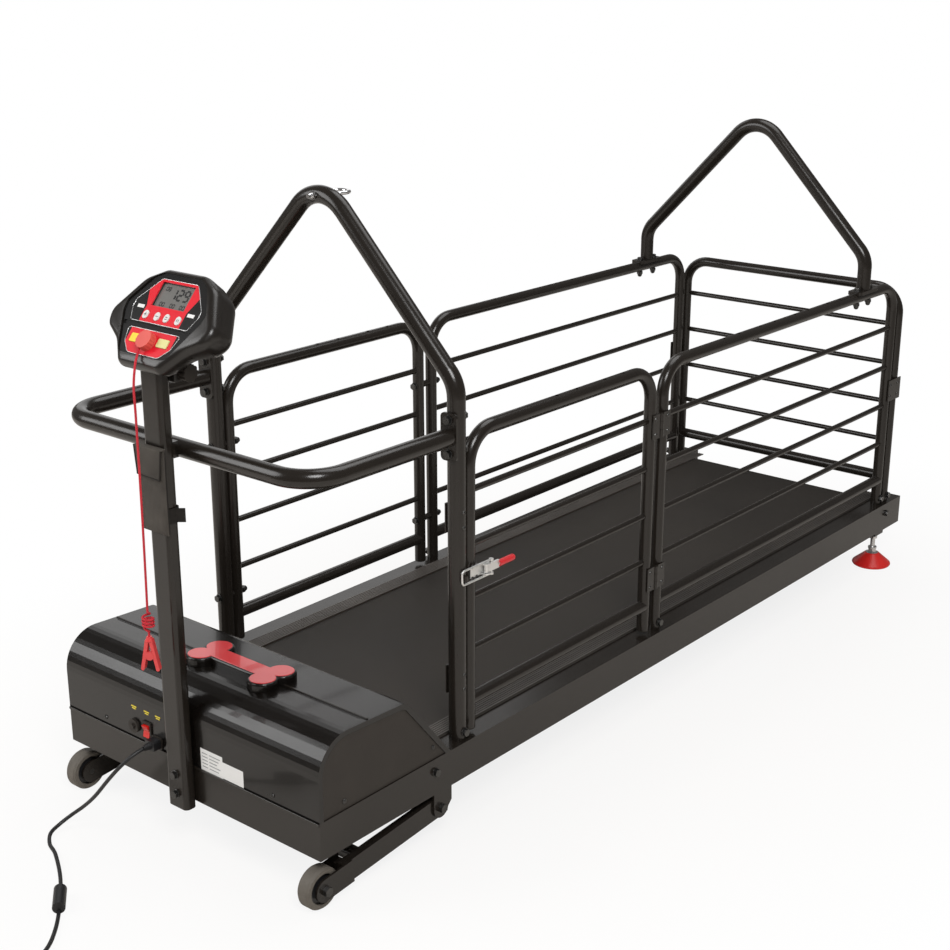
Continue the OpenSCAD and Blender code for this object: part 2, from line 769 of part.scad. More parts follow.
module hood_ends() {
  color("#3a3a3c") both_sides() translate([0, yd(0), rail_top])
    on_yz(half_w - 2 - seat - 2.5) linear_extrude(2.5) polygon(hood_side(hood_t + 0.2, 0.4));
}

// Bone outline standing on the hood's top
module badge() {
  color("#b21d20") translate([badge_x, yd(badge_y), rail_top + hood_h - badge_y * tan(hood_slope)])
    rotate([-hood_slope, 0, 0]) linear_extrude(badge_t) {
      square([badge_len - 3.2 * knob_r, 1.6 * knob_r], center = true);
      for (sx = [-1, 1], sy = [-1, 1])
        translate([sx * (badge_len / 2 - knob_r), sy * 0.78 * knob_r]) circle(knob_r);
    }
}

// Rocker frame, breaker collar and appliance inlet in the hood's front
module power_fittings() {
  color("#18181a") {
    translate([rocker_x, yd(0), fit_z]) rotate([90, 0, 0]) {
      difference() {
        translate([0, 0, 0.05]) linear_extrude(3) round_rect(24, 37, 3);
        translate([0, 0, -1]) linear_extrude(6) square([17, 27], center = true);
        rotate([0, 90, 0]) cylinder(h = 19.6, r = 1.5 + run_fit, center = true, $fn = 24);
      }
      difference() {
        translate([0, 0, -20]) linear_extrude(20.1) square([21, 29], center = true);
        translate([0, 0, -14]) linear_extrude(20) square([17, 27], center = true);
        rotate([0, 90, 0]) cylinder(h = 19.6, r = 1.5 + run_fit, center = true, $fn = 24);
      }
    }
    translate([breaker_x, yd(0), fit_z]) rotate([90, 0, 0]) difference() {
      union() {
        translate([0, 0, 0.05]) cylinder(h = 5, r = 13);
        translate([0, 0, -22]) cylinder(h = 22.1, r = 7.8);
      }
      translate([0, 0, -8]) cylinder(h = 20, r = 5.5);
    }
    translate([inlet_x, yd(0), inlet_z]) rotate([90, 0, 0]) {
      translate([0, 0, 0.05]) linear_extrude(3) round_rect(27, 22, 3);
      translate([0, 0, -22]) linear_extrude(22.1) square([22, 16], center = true);
    }
  }
}

module power_rocker() {
  color("#c3221f") translate([rocker_x, yd(0), fit_z]) {
    on_yz(-8) linear_extrude(16)
      polygon([[6, -5], [1, -11.5], [-5, -11.5], [-2.6, 0], [-7.5, 11], [0, 11.8], [6, 5]]);
    rotate([0, 90, 0]) cylinder(h = 19, r = 1.5, center = true, $fn = 24);
  }
}

module breaker_button() {
  color("#202022") translate([breaker_x, yd(0), fit_z]) rotate([90, 0, 0]) translate([0, 0, -5]) cylinder(h = 14, r = 5.2);
}

// Mast
module mast() {
  mid = yd(-mast_d / 2);
  color("#2b2b2d") {
    difference() {
      translate([0, mid, mast_foot]) linear_extrude(mast_top - mast_foot) round_rect(mast_w, mast_d, 9);
      translate([0, mid, mast_foot + 8]) linear_extrude(mast_top - mast_foot)
        round_rect(mast_w - 4, mast_d - 4, 7);
    }
    difference() {
      translate([-10, yd(0), bar_z - 14]) cube([20, bar_y, 28]);
      translate([-20, yd(bar_y), bar_z]) rotate([0, 90, 0]) cylinder(h = 40, d = post_d + 0.1);
    }
  }
}

// Skin over rings of equal length, each ring clockwise as seen from the last, with fanned ends
module loft(rings, low_mid, high_mid) {
  m = len(rings);
  k = len(rings[0]);
  polyhedron(concat([for (ring = rings) each ring], [low_mid, high_mid]), concat(
    [for (i = [0:m - 2], j = [0:k - 1], h = [0, 1])
      let (a = i * k + j, b = i * k + (j + 1) % k)
      h == 0 ? [a, b + k, a + k] : [a, b, b + k]],
    [for (j = [0:k - 1]) [j, m * k, (j + 1) % k]],
    [for (j = [0:k - 1]) [(m - 1) * k + j, (m - 1) * k + (j + 1) % k, m * k + 1]]));
}

// Console: rim, side wings and back as one lofted shell, with a sunk face that holds two panels
console_radii = [24, 40, 24, 24, 60, 16];
upper_panel = [[44, 112], [80.5, 68], [80, 55], [70, 32]];
lower_panel = [[64, 20], [57, -6], [38, -24]];

function console_ring(inset, z) =
  let (p = mirrored([for (q = console_rim) q - inset * unit(q - console_mid)]), n = len(console_radii),
    f = 1 - inset / 80, r = [for (i = [0:2 * n - 1]) f * console_radii[i < n ? i : 2 * n - 1 - i]])
  [for (q = rounded(p, r, 4)) [q.x, q.y, z]];

module panel_outlines(grow) {
  offset(delta = grow) {
    polygon(rounded(mirrored(upper_panel), [8, 14, 8, 5, 5, 8, 14, 8], 4));
    polygon(rounded(mirrored(lower_panel), [5, 14, 14, 14, 14, 5], 4));
  }
}

module console_shell() {
  deep = [-console_deep, 8 - console_deep, 20 - console_deep, 34 - console_deep, -3, rim_rise, 3];
  inset = [34, 18, 6, 1, 0, rim_inset, 6.5];
  color("#232326") difference() {
    union() {
      on_console() loft([for (i = [0:6]) console_ring(inset[i], deep[i])],
        [console_mid.x, console_mid.y, deep[0]], [console_mid.x, console_mid.y, deep[6]]);
      translate([-knob_x + 0.5, yd(8), knob_z - 16]) cube([2 * knob_x - 1, 32, 48]);
    }
    on_console() {
      linear_extrude(20)
        polygon(rounded(mirrored([[46, 122], [66, 111], [97, 63], [94, 45], [57, -27]]),
          [12, 12, 14, 14, 18, 18, 14, 14, 12, 12], 4));
      translate([0, 0, -panel_sink]) linear_extrude(20) panel_outlines(0.4);
      translate([-84, 22, -2.5]) cube([168, 8, 20]);
      for (u = [-39.5, -11.5, 11.5, 39.5]) translate([u, key_v, -6]) linear_extrude(10) rotate(90) slot_2d(17, 13);
      for (s = [-1, 1]) translate([s * side_key_u, 2, -6]) linear_extrude(10) square([27, 17], center = true);
      translate([0, -1, -8]) cylinder(h = 20, d = key_d - 5);
      translate([0, 85, -10]) linear_extrude(16) square([81, 45], center = true);
    }
    translate([0, yd(-mast_d / 2), mast_top - 200]) linear_extrude(200.5) round_rect(mast_w + 0.6, mast_d + 0.6, 9.3);
    translate([knob_x - 20, yd(knob_y), knob_z]) rotate([0, 90, 0]) cylinder(h = 30, r = 4 + run_fit);
    translate([knob_x - 0.5, yd(knob_y), knob_z]) rotate([0, 90, 0]) cylinder(h = 60, d = knob_d + 3);
  }
}

module console_panel() {
  color("#a02022") on_console() difference() {
    translate([0, 0, -panel_sink + 0.05]) linear_extrude(panel_sink) panel_outlines(0);
    for (u = [-39.5, -11.5, 11.5, 39.5]) translate([u, key_v, -9]) linear_extrude(20) rotate(90) slot_2d(16, 12);
    for (s = [-1, 1]) translate([s * side_key_u, 2, -9]) linear_extrude(20) square([26, 16], center = true);
    translate([0, -1, -9]) cylinder(h = 20, d = key_d - 6);
    translate([0, 85, -9]) linear_extrude(20) square([80.4, 44.4], center = true);
  }
}

module console_lcd() {
  color("#8f958c") on_console() translate([0, 85, -9.95]) linear_extrude(5) square([80, 44], center = true);
}

module oval_key(u) {
  on_console() translate([u, key_v, -6 + key_travel + 0.4]) linear_extrude(6 - key_travel - 0.4 + key_up)
    rotate(90) slot_2d(15.2, 11.2);
}

module side_key(s) {
  on_console() translate([s * side_key_u, 2, -6 + key_travel + 0.4]) linear_extrude(6 - key_travel - 0.4 + key_up)
    round_rect(25, 15, 2);
}

module key_1() {
  color("#e2e2dc") oval_key(-39.5);
}

module key_2() {
  color("#e2e2dc") oval_key(-11.5);
}

module key_3() {
  color("#e2e2dc") oval_key(11.5);
}

module key_4() {
  color("#e2e2dc") oval_key(39.5);
}

module key_start() {
  color("#d8c22a") side_key(-1);
}

module key_stop() {
  color("#e6dfa8") side_key(1);
}

// Magnetic safety key: fluted cap with a spigot in the socket
module safety_key() {
  color("#c8463c") on_console() translate([0, -1, 0]) {
    translate([0, 0, 0.4]) difference() {
      cylinder(h = 13, d = key_d);
      for (i = [0:15]) rotate(22.5 * i) translate([key_d / 2 + 0.8, 0, 2]) cylinder(h = 14, r = 1.6, $fn = 12);
    }
    translate([0, 0, -7]) cylinder(h = 7.6, d = key_d - 8);
  }
}

module clamp_knob() {
  color("#2e2e30") translate([0, yd(knob_y), knob_z]) rotate([0, 90, 0]) {
    translate([0, 0, knob_x - 18]) cylinder(h = 20, r = 4);
    translate([0, 0, knob_x]) difference() {
      cylinder(h = 17, d = knob_d);
      for (i = [0:9]) rotate(36 * i) translate([knob_d / 2 + 1.4, 0, 3]) cylinder(h = 20, r = 3);
    }
  }
}

// Lanyard: hangs from the key over the console's rim, is wound into a short hank, and ends in a clip
function face_pt(u, v, n) = [u, yd(console_y) + v * sin(console_tilt) - n * cos(console_tilt),
  console_z + v * cos(console_tilt) + n * sin(console_tilt)];
hank_x = hank_c.x;
hank_y = yd(hank_c.y);
hang_pts = [
  face_pt(-4, -17.4, 8), face_pt(-2, -22, 8.4), face_pt(4, -34, 9.6), face_pt(8, -46, 8.5),
  [13, yd(-65), console_z - 62], [13, yd(-65), console_z - 110], [12, yd(-65), 700], [10, yd(-64.6), 600],
  [hank_x + 1, yd(-64.2), 500], [hank_x, hank_y, hank_top + 12]
];
hank_n = 24 * hank_turns;
hank = [for (i = [0:hank_n])
  let (e = min(1, min(i, hank_n - i) / 12), a = 360 * i / 24)
  [hank_x + hank_r * e * cos(a), hank_y + hank_r * e * sin(a), hank_top - 6 * i / 24 - (1 - e) * (i < 12 ? -6 : 6)]];
lanyard_path = concat(spline(hang_pts, 5), hank,
  [[hank_x, hank_y, hank_top - 6 * hank_turns - 11], [hank_x, hank_y, clip_top]]);

module lanyard() {
  color("#c01f24") sweep(lanyard_path, lanyard_d, 8);
}

module lanyard_clip() {
  lean = atan((clip_half - 6) / clip_h);
  color("#c01f24") translate([hank_x, hank_y, clip_top]) rotate([0, 0, clip_turn]) {
    translate([0, 0, -8]) cylinder(h = 8, d1 = 15, d2 = 9);
    for (s = [-1, 1]) translate([s * 3, 0, -5]) rotate([90, -s * lean, 0]) linear_extrude(11, center = true)
      polygon(rounded([[-3, 0], [3, 0], [3, 5 - clip_h], [-3, 5 - clip_h]], [1, 1, 2.9, 2.9], 4));
    translate([0, 6, -34]) rotate([90, 0, 0]) cylinder(h = 12, d = 15);
  }
}

// Soft pouch strapped to the mast
module pouch() {
  low = 613;
  high = 754;
  front = yd(-pouch_reach);
  color("#1d1d1f") {
    hull() {
      translate([0, yd(-mast_d) - 0.3, 0]) rotate([90, 0, 0]) linear_extrude(pouch_t - 7)
        translate([0, (low + high) / 2]) round_rect(pouch_w, high - low, 6, $fn = 24);
      translate([0, yd(-mast_d) - 2, 0]) rotate([90, 0, 0]) linear_extrude(pouch_t - 5)
        translate([0, (low + high) / 2 - 4]) round_rect(pouch_w - 14, high - low - 22, 8, $fn = 24);
    }
    hull() {
      translate([0, front + 4, 0]) rotate([90, 0, 0]) linear_extrude(4)
        polygon([[-pouch_w / 2 + 2, high - 4], [-pouch_w / 2 + 9, high - 54], [pouch_w / 2 - 9, high - 54],
          [pouch_w / 2 - 2, high - 4]]);
      translate([-pouch_w / 2 + 1, yd(-mast_d) - 6, high - 6]) cube([pouch_w - 2, 4, 6.5]);
    }
    translate([mast_w / 2 + 1.2, yd(-8), 669]) rotate([0, 0, -50]) cube([2.2, 16, 24]);
    difference() {
      translate([0, yd(-mast_d / 2) - 0.5, 668]) linear_extrude(26) round_rect(mast_w + 5, mast_d + 5.5, 10);
      translate([0, yd(-mast_d / 2), 667]) linear_extrude(28) round_rect(mast_w + 0.6, mast_d + 0.6, 9.3);
    }
  }
}

// Front arch: one bent tube from rail to rail, drilled for the eye bolt
module front_arch() {
  color("#2b2b2d") difference() {
    on_xz(yd(post_y)) bent_tube([[rail_x, rail_top], [rail_x, shoulder_z], [0, apex_z], [-rail_x, shoulder_z],
      [-rail_x, rail_top]], [0, shoulder_r, apex_r, shoulder_r, 0], post_d, bend_step);
    translate([0, yd(post_y), arch_top]) rotate([90, 0, 0]) cylinder(h = post_d + 4, r = 4.1, center = true);
  }
}

module handlebar() {
  end_y = yd(post_y - post_d / 2 - flange_t);
  color("#2b2b2d") difference() {
    union() {
      translate([0, 0, bar_z]) bent_tube([[rail_x, end_y], [rail_x, yd(bar_y)], [-rail_x, yd(bar_y)],
        [-rail_x, end_y]], [0, bar_r, bar_r, 0], post_d);
      both_sides() translate([rail_x, end_y + flange_t, bar_z]) rotate([90, 0, 0])
        linear_extrude(flange_t) round_rect(post_d + 3, flange_h, 8);
    }
    both_sides() for (s = [-1, 1])
      translate([rail_x, end_y - 1, bar_z + s * (flange_h / 2 - 12)]) rotate([-90, 0, 0]) cylinder(h = flange_t + 2, d = bolt_hole);
  }
}

// Rear arch: saddle feet bolted on the side panels' top tubes
module rear_arch() {
  base = panel_top + panel_d / 2 + 4;
  color("#2b2b2d") {
    on_xz(yd(arch_y)) bent_tube([[rail_x, base - 1], [rail_x, shoulder_z], [0, apex_z], [-rail_x, shoulder_z],
      [-rail_x, base - 1]], [0, shoulder_r, apex_r, shoulder_r, 0], post_d, bend_step);
    both_sides() difference() {
      translate([rail_x, yd(arch_y), base - foot_t]) linear_extrude(foot_t) round_rect(post_d + 4, bolt_gap + 32, 8);
      translate([rail_x, yd(arch_y) - 60, panel_top]) rotate([-90, 0, 0]) cylinder(h = 120, d = panel_d + 0.1);
      for (s = [-1, 1]) translate([rail_x, yd(arch_y) + s * bolt_gap / 2, base - foot_t - 1])
        cylinder(h = foot_t + 2, d = bolt_hole);
    }
  }
}

// Ring bolt through the front arch's apex
module eye_bolt() {
  wire = 7;
  ring = 20;
  back = yd(post_y) + post_d / 2;
  color("#c4c4c8") translate([0, 0, arch_top]) {
    translate([0, back + 6 + ring, 0]) rotate_extrude() translate([ring, 0]) circle(d = wire);
    translate([0, back + 0.3, 0]) rotate([-90, 0, 0]) cylinder(h = 4, r = 8);
    translate([0, back + 7, 0]) rotate([90, 0, 0]) cylinder(h = post_d + 22, r = 4);
    translate([0, back - post_d - 0.3, 0]) rotate([90, 0, 0]) cylinder(h = 7, r = 7.5, $fn = 6);
  }
}

// Panels: bent frames, coped bars, and bolt holes along the top tubes
module side_frame(from, to, end, holes) {
  difference() {
    on_yz(rail_x) bent_tube([[yd(from), end], [yd(from), panel_top], [yd(to), panel_top], [yd(to), end]],
      [0, panel_r, panel_r, 0], panel_d);
    for (h = holes, s = [-1, 1]) translate([rail_x, yd(h) + s * bolt_gap / 2, panel_top - panel_d])
      cylinder(h = 2 * panel_d, d = bolt_hole);
  }
}

module side_bars(from, to) {
  difference() {
    translate([rail_x, yd(from), 0]) rotate([-90, 0, 0]) {
      for (z = bars) translate([0, -z, 0]) cylinder(h = to - from, d = bar_d);
      translate([0, -bottom_z, 0]) cylinder(h = to - from, d = panel_d);
    }
    for (d = [from, to]) translate([rail_x, yd(d), 0]) cylinder(h = panel_top, d = panel_d);
  }
}

gate_holes = [gate_end_y - 130, gate_end_y - 130 - hole_pitch];
panel_holes = [for (i = [0:4]) arch_y - i * hole_pitch];

module gate_frame() {
  color("#2b2b2d") side_frame(gate_y, gate_end_y, free_end, gate_holes);
}

module gate_bars() {
  color("#2b2b2d") side_bars(gate_y, gate_end_y);
}

module panel_frames() {
  color("#2b2b2d") {
    both_sides() side_frame(panel_y, panel_end_y, rail_top, panel_holes);
    mirror([1, 0, 0]) side_frame(gate_y, gate_end_y, free_end, gate_holes);
    on_xz(yd(tail_y)) bent_tube([[-rail_x, rail_top], [-rail_x, tail_top], [rail_x, tail_top], [rail_x, rail_top]],
      [0, panel_r, panel_r, 0], panel_d);
  }
}

module panel_bars() {
  color("#2b2b2d") {
    both_sides() side_bars(panel_y, panel_end_y);
    mirror([1, 0, 0]) side_bars(gate_y, gate_end_y);
    difference() {
      translate([-rail_x, yd(tail_y), 0]) rotate([0, 90, 0]) {
        for (z = bars) translate([-z, 0, 0]) cylinder(h = 2 * rail_x, d = bar_d);
        translate([-bottom_z, 0, 0]) cylinder(h = 2 * rail_x, d = panel_d);
      }
      both_sides() translate([rail_x, yd(tail_y), 0]) cylinder(h = tail_top, d = panel_d);
    }
  }
}

// Butt hinges: the gate's leaf and middle knuckle, drawn per leaf
module hinge_leaf(side, knuckles, bore) {
  third = hinge_h / 3;
  difference() {
    union() {
      translate([rail_x + panel_d / 2, side > 0 ? hinge_r + 0.7 : -hinge_gap - 9, -hinge_h / 2])
        cube([2.5, hinge_gap + 9 - hinge_r - 0.7, hinge_h]);
      for (k = knuckles) {
        translate([hinge_x, 0, k * third - third / 2 + 0.3]) cylinder(h = third - 0.6, r = hinge_r);
        translate([rail_x + panel_d / 2, side > 0 ? 0 : -hinge_r - 1.2, k * third - third / 2 + 0.3])
          cube([2.5, hinge_r + 1.2, third - 0.6]);
      }
      if (!bore) translate([hinge_x, 0, -hinge_h / 2 + 0.3]) cylinder(h = hinge_h - 0.6, r = 2.5);
    }
    if (bore) translate([hinge_x, 0, -hinge_h]) cylinder(h = 2 * hinge_h, r = 2.5 + run_fit);
  }
}

module gate_hinges() {
  color("#303032") for (z = hinge_zs) translate([0, yd(hinge_y), z]) hinge_leaf(-1, [0], true);
}

// Over-centre latch: base on the gate, lever with a vinyl grip, wire bail
module latch_base() {
  color("#d8d8d4") translate([0, yd(latch_y), latch_z]) {
    translate([latch_x, -latch_y + gate_y - 11, -10]) cube([2, latch_y - gate_y + 24, 20]);
    for (s = [-1, 1]) translate([latch_x + 2, 0, s * 9 - 1]) {
      translate([0, -9, 0]) cube([5, 18, 2]);
      translate([5, 0, 0]) cylinder(h = 2, r = 8);
    }
    translate([latch_px, 0, -9]) cylinder(h = 18, r = 2.5);
  }
}

module latch_lever() {
  color("#d8d8d4") translate([latch_px, yd(latch_y), latch_z]) difference() {
    union() {
      translate([0, 0, -7.4]) cylinder(h = 14.8, r = 4.4);
      translate([-1.5, 0, -7.4]) cube([4, 34, 14.8]);
      translate([0, latch_arm, -bail_half - 2.4]) cylinder(h = 2 * bail_half + 4.8, r = bail_r);
      translate([1, 30, 0]) rotate([-90, 0, 0]) cylinder(h = 40, r = 3.4);
    }
    translate([0, 0, -9]) cylinder(h = 18, r = 2.5 + run_fit);
  }
  color("#b3262b") translate([latch_px, yd(latch_y), latch_z]) translate([1, 34, 0]) rotate([-90, 0, 0]) {
    cylinder(h = 38, d = grip_d);
    translate([0, 0, 38]) sphere(d = grip_d);
  }
}

module latch_bail() {
  far = latch_y + latch_arm - bail_y;
  color("#dcdcd8") translate([latch_px, yd(latch_y + latch_arm), latch_z]) {
    for (s = [-1, 1]) translate([0, 0, s * bail_half]) difference() {
      cylinder(h = 3.6, r = 4.2, center = true);
      cylinder(h = 8, r = bail_r + run_fit, center = true);
    }
    rotate([0, 90, 180]) bent_rod([[bail_half, 4], [bail_half, far], [-bail_half, far], [-bail_half, 4]],
      [0, 6, 6, 0], 2 * bail_r);
  }
}

// Spacer between two uprights on the far side, coped to both tubes
module far_spacer(from, d, to, z) {
  translate([-rail_x, 0, z]) difference() {
    translate([0, yd(from), 0]) rotate([-90, 0, 0]) cylinder(h = to - from, r = 7);
    translate([0, yd(from), -20]) cylinder(h = 40, d = d);
    translate([0, yd(to), -20]) cylinder(h = 40, d = panel_d);
  }
}

// Pieces on the fixed posts: latch tab, gate stops, and the fixed hinge leaves
module post_plates() {
  color("#3a3a3c") {
    translate([rail_x, yd(post_y), latch_z]) difference() {
      translate([10, tab_y - post_y, -tab_h / 2]) cube([post_d / 2 + 0.5, tab_t, tab_h]);
      cylinder(h = 60, d = post_d, center = true);
    }
    for (z = stop_zs) translate([0, 0, z - stop_h / 2]) linear_extrude(stop_h)
      polygon([[rail_x - post_d / 2 - 3, yd(post_y) - 10], [rail_x - post_d / 2, yd(post_y) - 10],
        [rail_x - post_d / 2, yd(post_y) + 11], [rail_x - panel_d / 2 - 0.5, yd(post_y) + 17],
        [rail_x - panel_d / 2 - 0.5, yd(gate_y) + 12], [rail_x - panel_d / 2 - 3.5, yd(gate_y) + 12],
        [rail_x - panel_d / 2 - 3.5, yd(post_y) + 18], [rail_x - post_d / 2 - 3, yd(post_y) + 12]]);
    for (z = hinge_zs) translate([0, yd(hinge_y), z]) hinge_leaf(1, [-1, 1], false);
    for (z = spacer_zs) {
      far_spacer(post_y, post_d, gate_y, z);
      far_spacer(gate_end_y, panel_d, panel_y, z);
    }
    both_sides() translate([rail_x + panel_d / 2, yd(panel_end_y) - 10, 440])
      cube([2.5, tail_y - panel_end_y + 26, 54]);
  }
}

// Mains lead: free run, put-away coil, and the pieces on it
coil_in = coil_out - coil_turns * coil_step;
coil_half = 24 * coil_turns;
coil_loops = [for (i = [0:2 * coil_half])
  let (a = coil_a + 360 * i / 24, w = coil_half - 6, up = min(1, max(0, (i - w) / 12)),
    r = coil_in + coil_step * sqrt(pow((i - coil_half) / 24, 2) + 0.02))
  [coil_c.x + r * cos(a), coil_c.y + r * sin(a), lead_z + coil_rise * up]];
coil_n = len(coil_loops) - 1;
coil_dir = [-sin(coil_a), cos(coil_a), 0];
coil_path = concat([coil_loops[0] - 3 * lead_d * coil_dir, coil_loops[0] - 2 * lead_d * coil_dir], coil_loops,
  [coil_loops[coil_n] + 2 * lead_d * coil_dir, coil_loops[coil_n] + 3 * lead_d * coil_dir]);
lead_path = spline(concat(lead_pts, [coil_path[0] - 18 * coil_dir, coil_path[0]]), 5);
lead_end = [coil_path[0] - 1.5 * lead_d * coil_dir, coil_path[0]];
lead_full = concat([for (q = lead_path) if (norm(q - coil_path[0]) > 2.2 * lead_d) q], lead_end);
ferrite_off = [for (q = lead_full) norm(q - ferrite_at)];
ferrite_i = search(min(ferrite_off), ferrite_off)[0];
ferrite_way = tangent(lead_full, ferrite_i);
coil_gap = min([for (i = [0:3:coil_n], j = [i + 12:coil_n]) norm(coil_loops[i] - coil_loops[j])]) - lead_d;
echo(coil_gap = coil_gap);

module mains_cord() {
  color("#1a1a1c") sweep(lead_full, lead_d, 8);
}

module cord_coil() {
  color("#1a1a1c") sweep(coil_path, lead_d, 6);
}

// Appliance connector with its strain relief, ferrite sleeve, plug and tie
module cord_fittings() {
  plug = coil_path[coil_n + 4];
  tie_r = coil_in + coil_turns * coil_step / 2;
  color("#1a1a1c") {
    translate([inlet_x, yd(-3.35), inlet_z]) rotate([90, 0, 0]) {
      linear_extrude(connector_len) round_rect(25, 18, 4);
      translate([0, 0, connector_len]) cylinder(h = relief_len, d1 = 14, d2 = lead_d + 2.6);
    }
    translate(lead_full[ferrite_i]) rotate([0, 0, atan2(ferrite_way.y, ferrite_way.x)])
      rotate([0, 90, 0]) difference() {
        translate([-11 + lead_z + 0.1, 0, -28]) cylinder(h = 56, d = 22);
        translate([0, 0, -30]) cylinder(h = 60, d = lead_d + 1.2);
      }
    translate(plug) rotate([0, 0, atan2(coil_dir.y, coil_dir.x)]) {
      rotate([0, 90, 0]) cylinder(h = 18, d1 = lead_d + 3, d2 = 15);
      translate([17, -13, -10]) cube([27, 26, 21]);
      for (s = [-1, 1]) translate([43, s * 7, 0]) rotate([0, 90, 0]) cylinder(h = 17, r = 2.4);
    }
    translate([coil_c.x, coil_c.y, 0]) rotate([0, 0, coil_a + 140]) difference() {
      translate([coil_in - 8, -5, 0]) cube([coil_turns * coil_step + 18, 10, 2 * coil_rise + 3]);
      translate([coil_in - 6, -6, 0.1]) cube([coil_turns * coil_step + 14, 12, 2 * coil_rise + 1.4]);
    }
  }
}

side_rails();
front_plate();
cross_members();
motor_tray();
foot_strips();
deck_board();
running_belt();
front_roller();
rear_roller();
roller_axles();
drive_motor();
motor_pulley();
drive_belt();
control_box();
incline_actuator();
incline_rod();
lift_frame();
lift_bolts();
pivot_brackets();
wheel_near();
wheel_far();
foot_near();
foot_far();
hood();
hood_ends();
badge();
power_fittings();
power_rocker();
breaker_button();
mast();
console_shell();
console_panel();
console_lcd();
key_1();
key_2();
key_3();
key_4();
key_start();
key_stop();
safety_key();
clamp_knob();
lanyard();
lanyard_clip();
pouch();
front_arch();
handlebar();
rear_arch();
eye_bolt();
gate_frame();
gate_bars();
panel_frames();
panel_bars();
gate_hinges();
latch_base();
latch_lever();
latch_bail();
post_plates();
mains_cord();
cord_coil();
cord_fittings();
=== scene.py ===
"""Dressing for a fenced running-belt machine: looks, fasteners, cords and soft pieces over its frame."""

import math

import bmesh
import bpy
from mathutils import Matrix, Vector


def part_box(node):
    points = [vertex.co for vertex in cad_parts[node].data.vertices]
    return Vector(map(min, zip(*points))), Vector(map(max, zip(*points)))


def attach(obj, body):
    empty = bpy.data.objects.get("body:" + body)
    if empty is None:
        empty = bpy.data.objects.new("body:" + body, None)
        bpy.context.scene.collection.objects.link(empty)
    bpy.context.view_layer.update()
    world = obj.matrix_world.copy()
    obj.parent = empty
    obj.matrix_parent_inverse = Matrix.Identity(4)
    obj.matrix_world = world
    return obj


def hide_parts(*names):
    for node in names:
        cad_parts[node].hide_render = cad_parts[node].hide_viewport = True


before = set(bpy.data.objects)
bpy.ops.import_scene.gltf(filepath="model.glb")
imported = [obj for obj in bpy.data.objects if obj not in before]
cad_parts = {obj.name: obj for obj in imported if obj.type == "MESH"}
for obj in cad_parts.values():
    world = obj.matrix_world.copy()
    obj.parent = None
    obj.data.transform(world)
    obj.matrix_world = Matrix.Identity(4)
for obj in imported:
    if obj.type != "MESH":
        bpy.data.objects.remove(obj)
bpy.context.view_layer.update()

# Camera: stands off the console end on the gate side, a little above the arches, level with no roll.
# Its place was worked out from the straight edges of the rails and fence.
y_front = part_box("front_plate")[0].y
camera_data = bpy.data.cameras.new("camera")
camera_data.lens = 59.66
camera_data.sensor_width = 36
camera = bpy.data.objects.new("camera", camera_data)
camera.location = (1.9624, y_front - 1.5607, 1.5103)
camera.rotation_euler = (math.radians(71.60), 0, math.radians(39.86))
bpy.context.scene.collection.objects.link(camera)
bpy.context.scene.camera = camera
bpy.context.scene.view_settings.view_transform = "Standard"


# Studio: a pale floor that keeps the shadow and fades into white, and a white surround.
# Only the camera sees that white; four soft lamps and a dim sky do the lighting.
class Val:
    """A shader socket that takes part in Python expressions."""

    def __init__(self, finish, socket):
        self.finish = finish
        self.socket = socket

    def maths(self, operation, a, b=0.0):
        return self.finish.node("ShaderNodeMath", {"operation": operation}, {0: a, 1: b})

    def __add__(self, other):
        return self.maths("ADD", self, other)

    def __sub__(self, other):
        return self.maths("SUBTRACT", self, other)

    def __rsub__(self, other):
        return self.maths("SUBTRACT", other, self)

    def __mul__(self, other):
        return self.maths("MULTIPLY", self, other)

    def __pow__(self, other):
        return self.maths("POWER", self, other)

    def __abs__(self):
        return self.maths("ABSOLUTE", self)

    def __gt__(self, other):
        return self.maths("GREATER_THAN", self, other)

    def __lt__(self, other):
        return self.maths("LESS_THAN", self, other)

    __radd__, __rmul__ = __add__, __mul__

    def sine(self):
        return self.maths("SINE", self)

    def at_least(self, least):
        return self.maths("MAXIMUM", self, least)


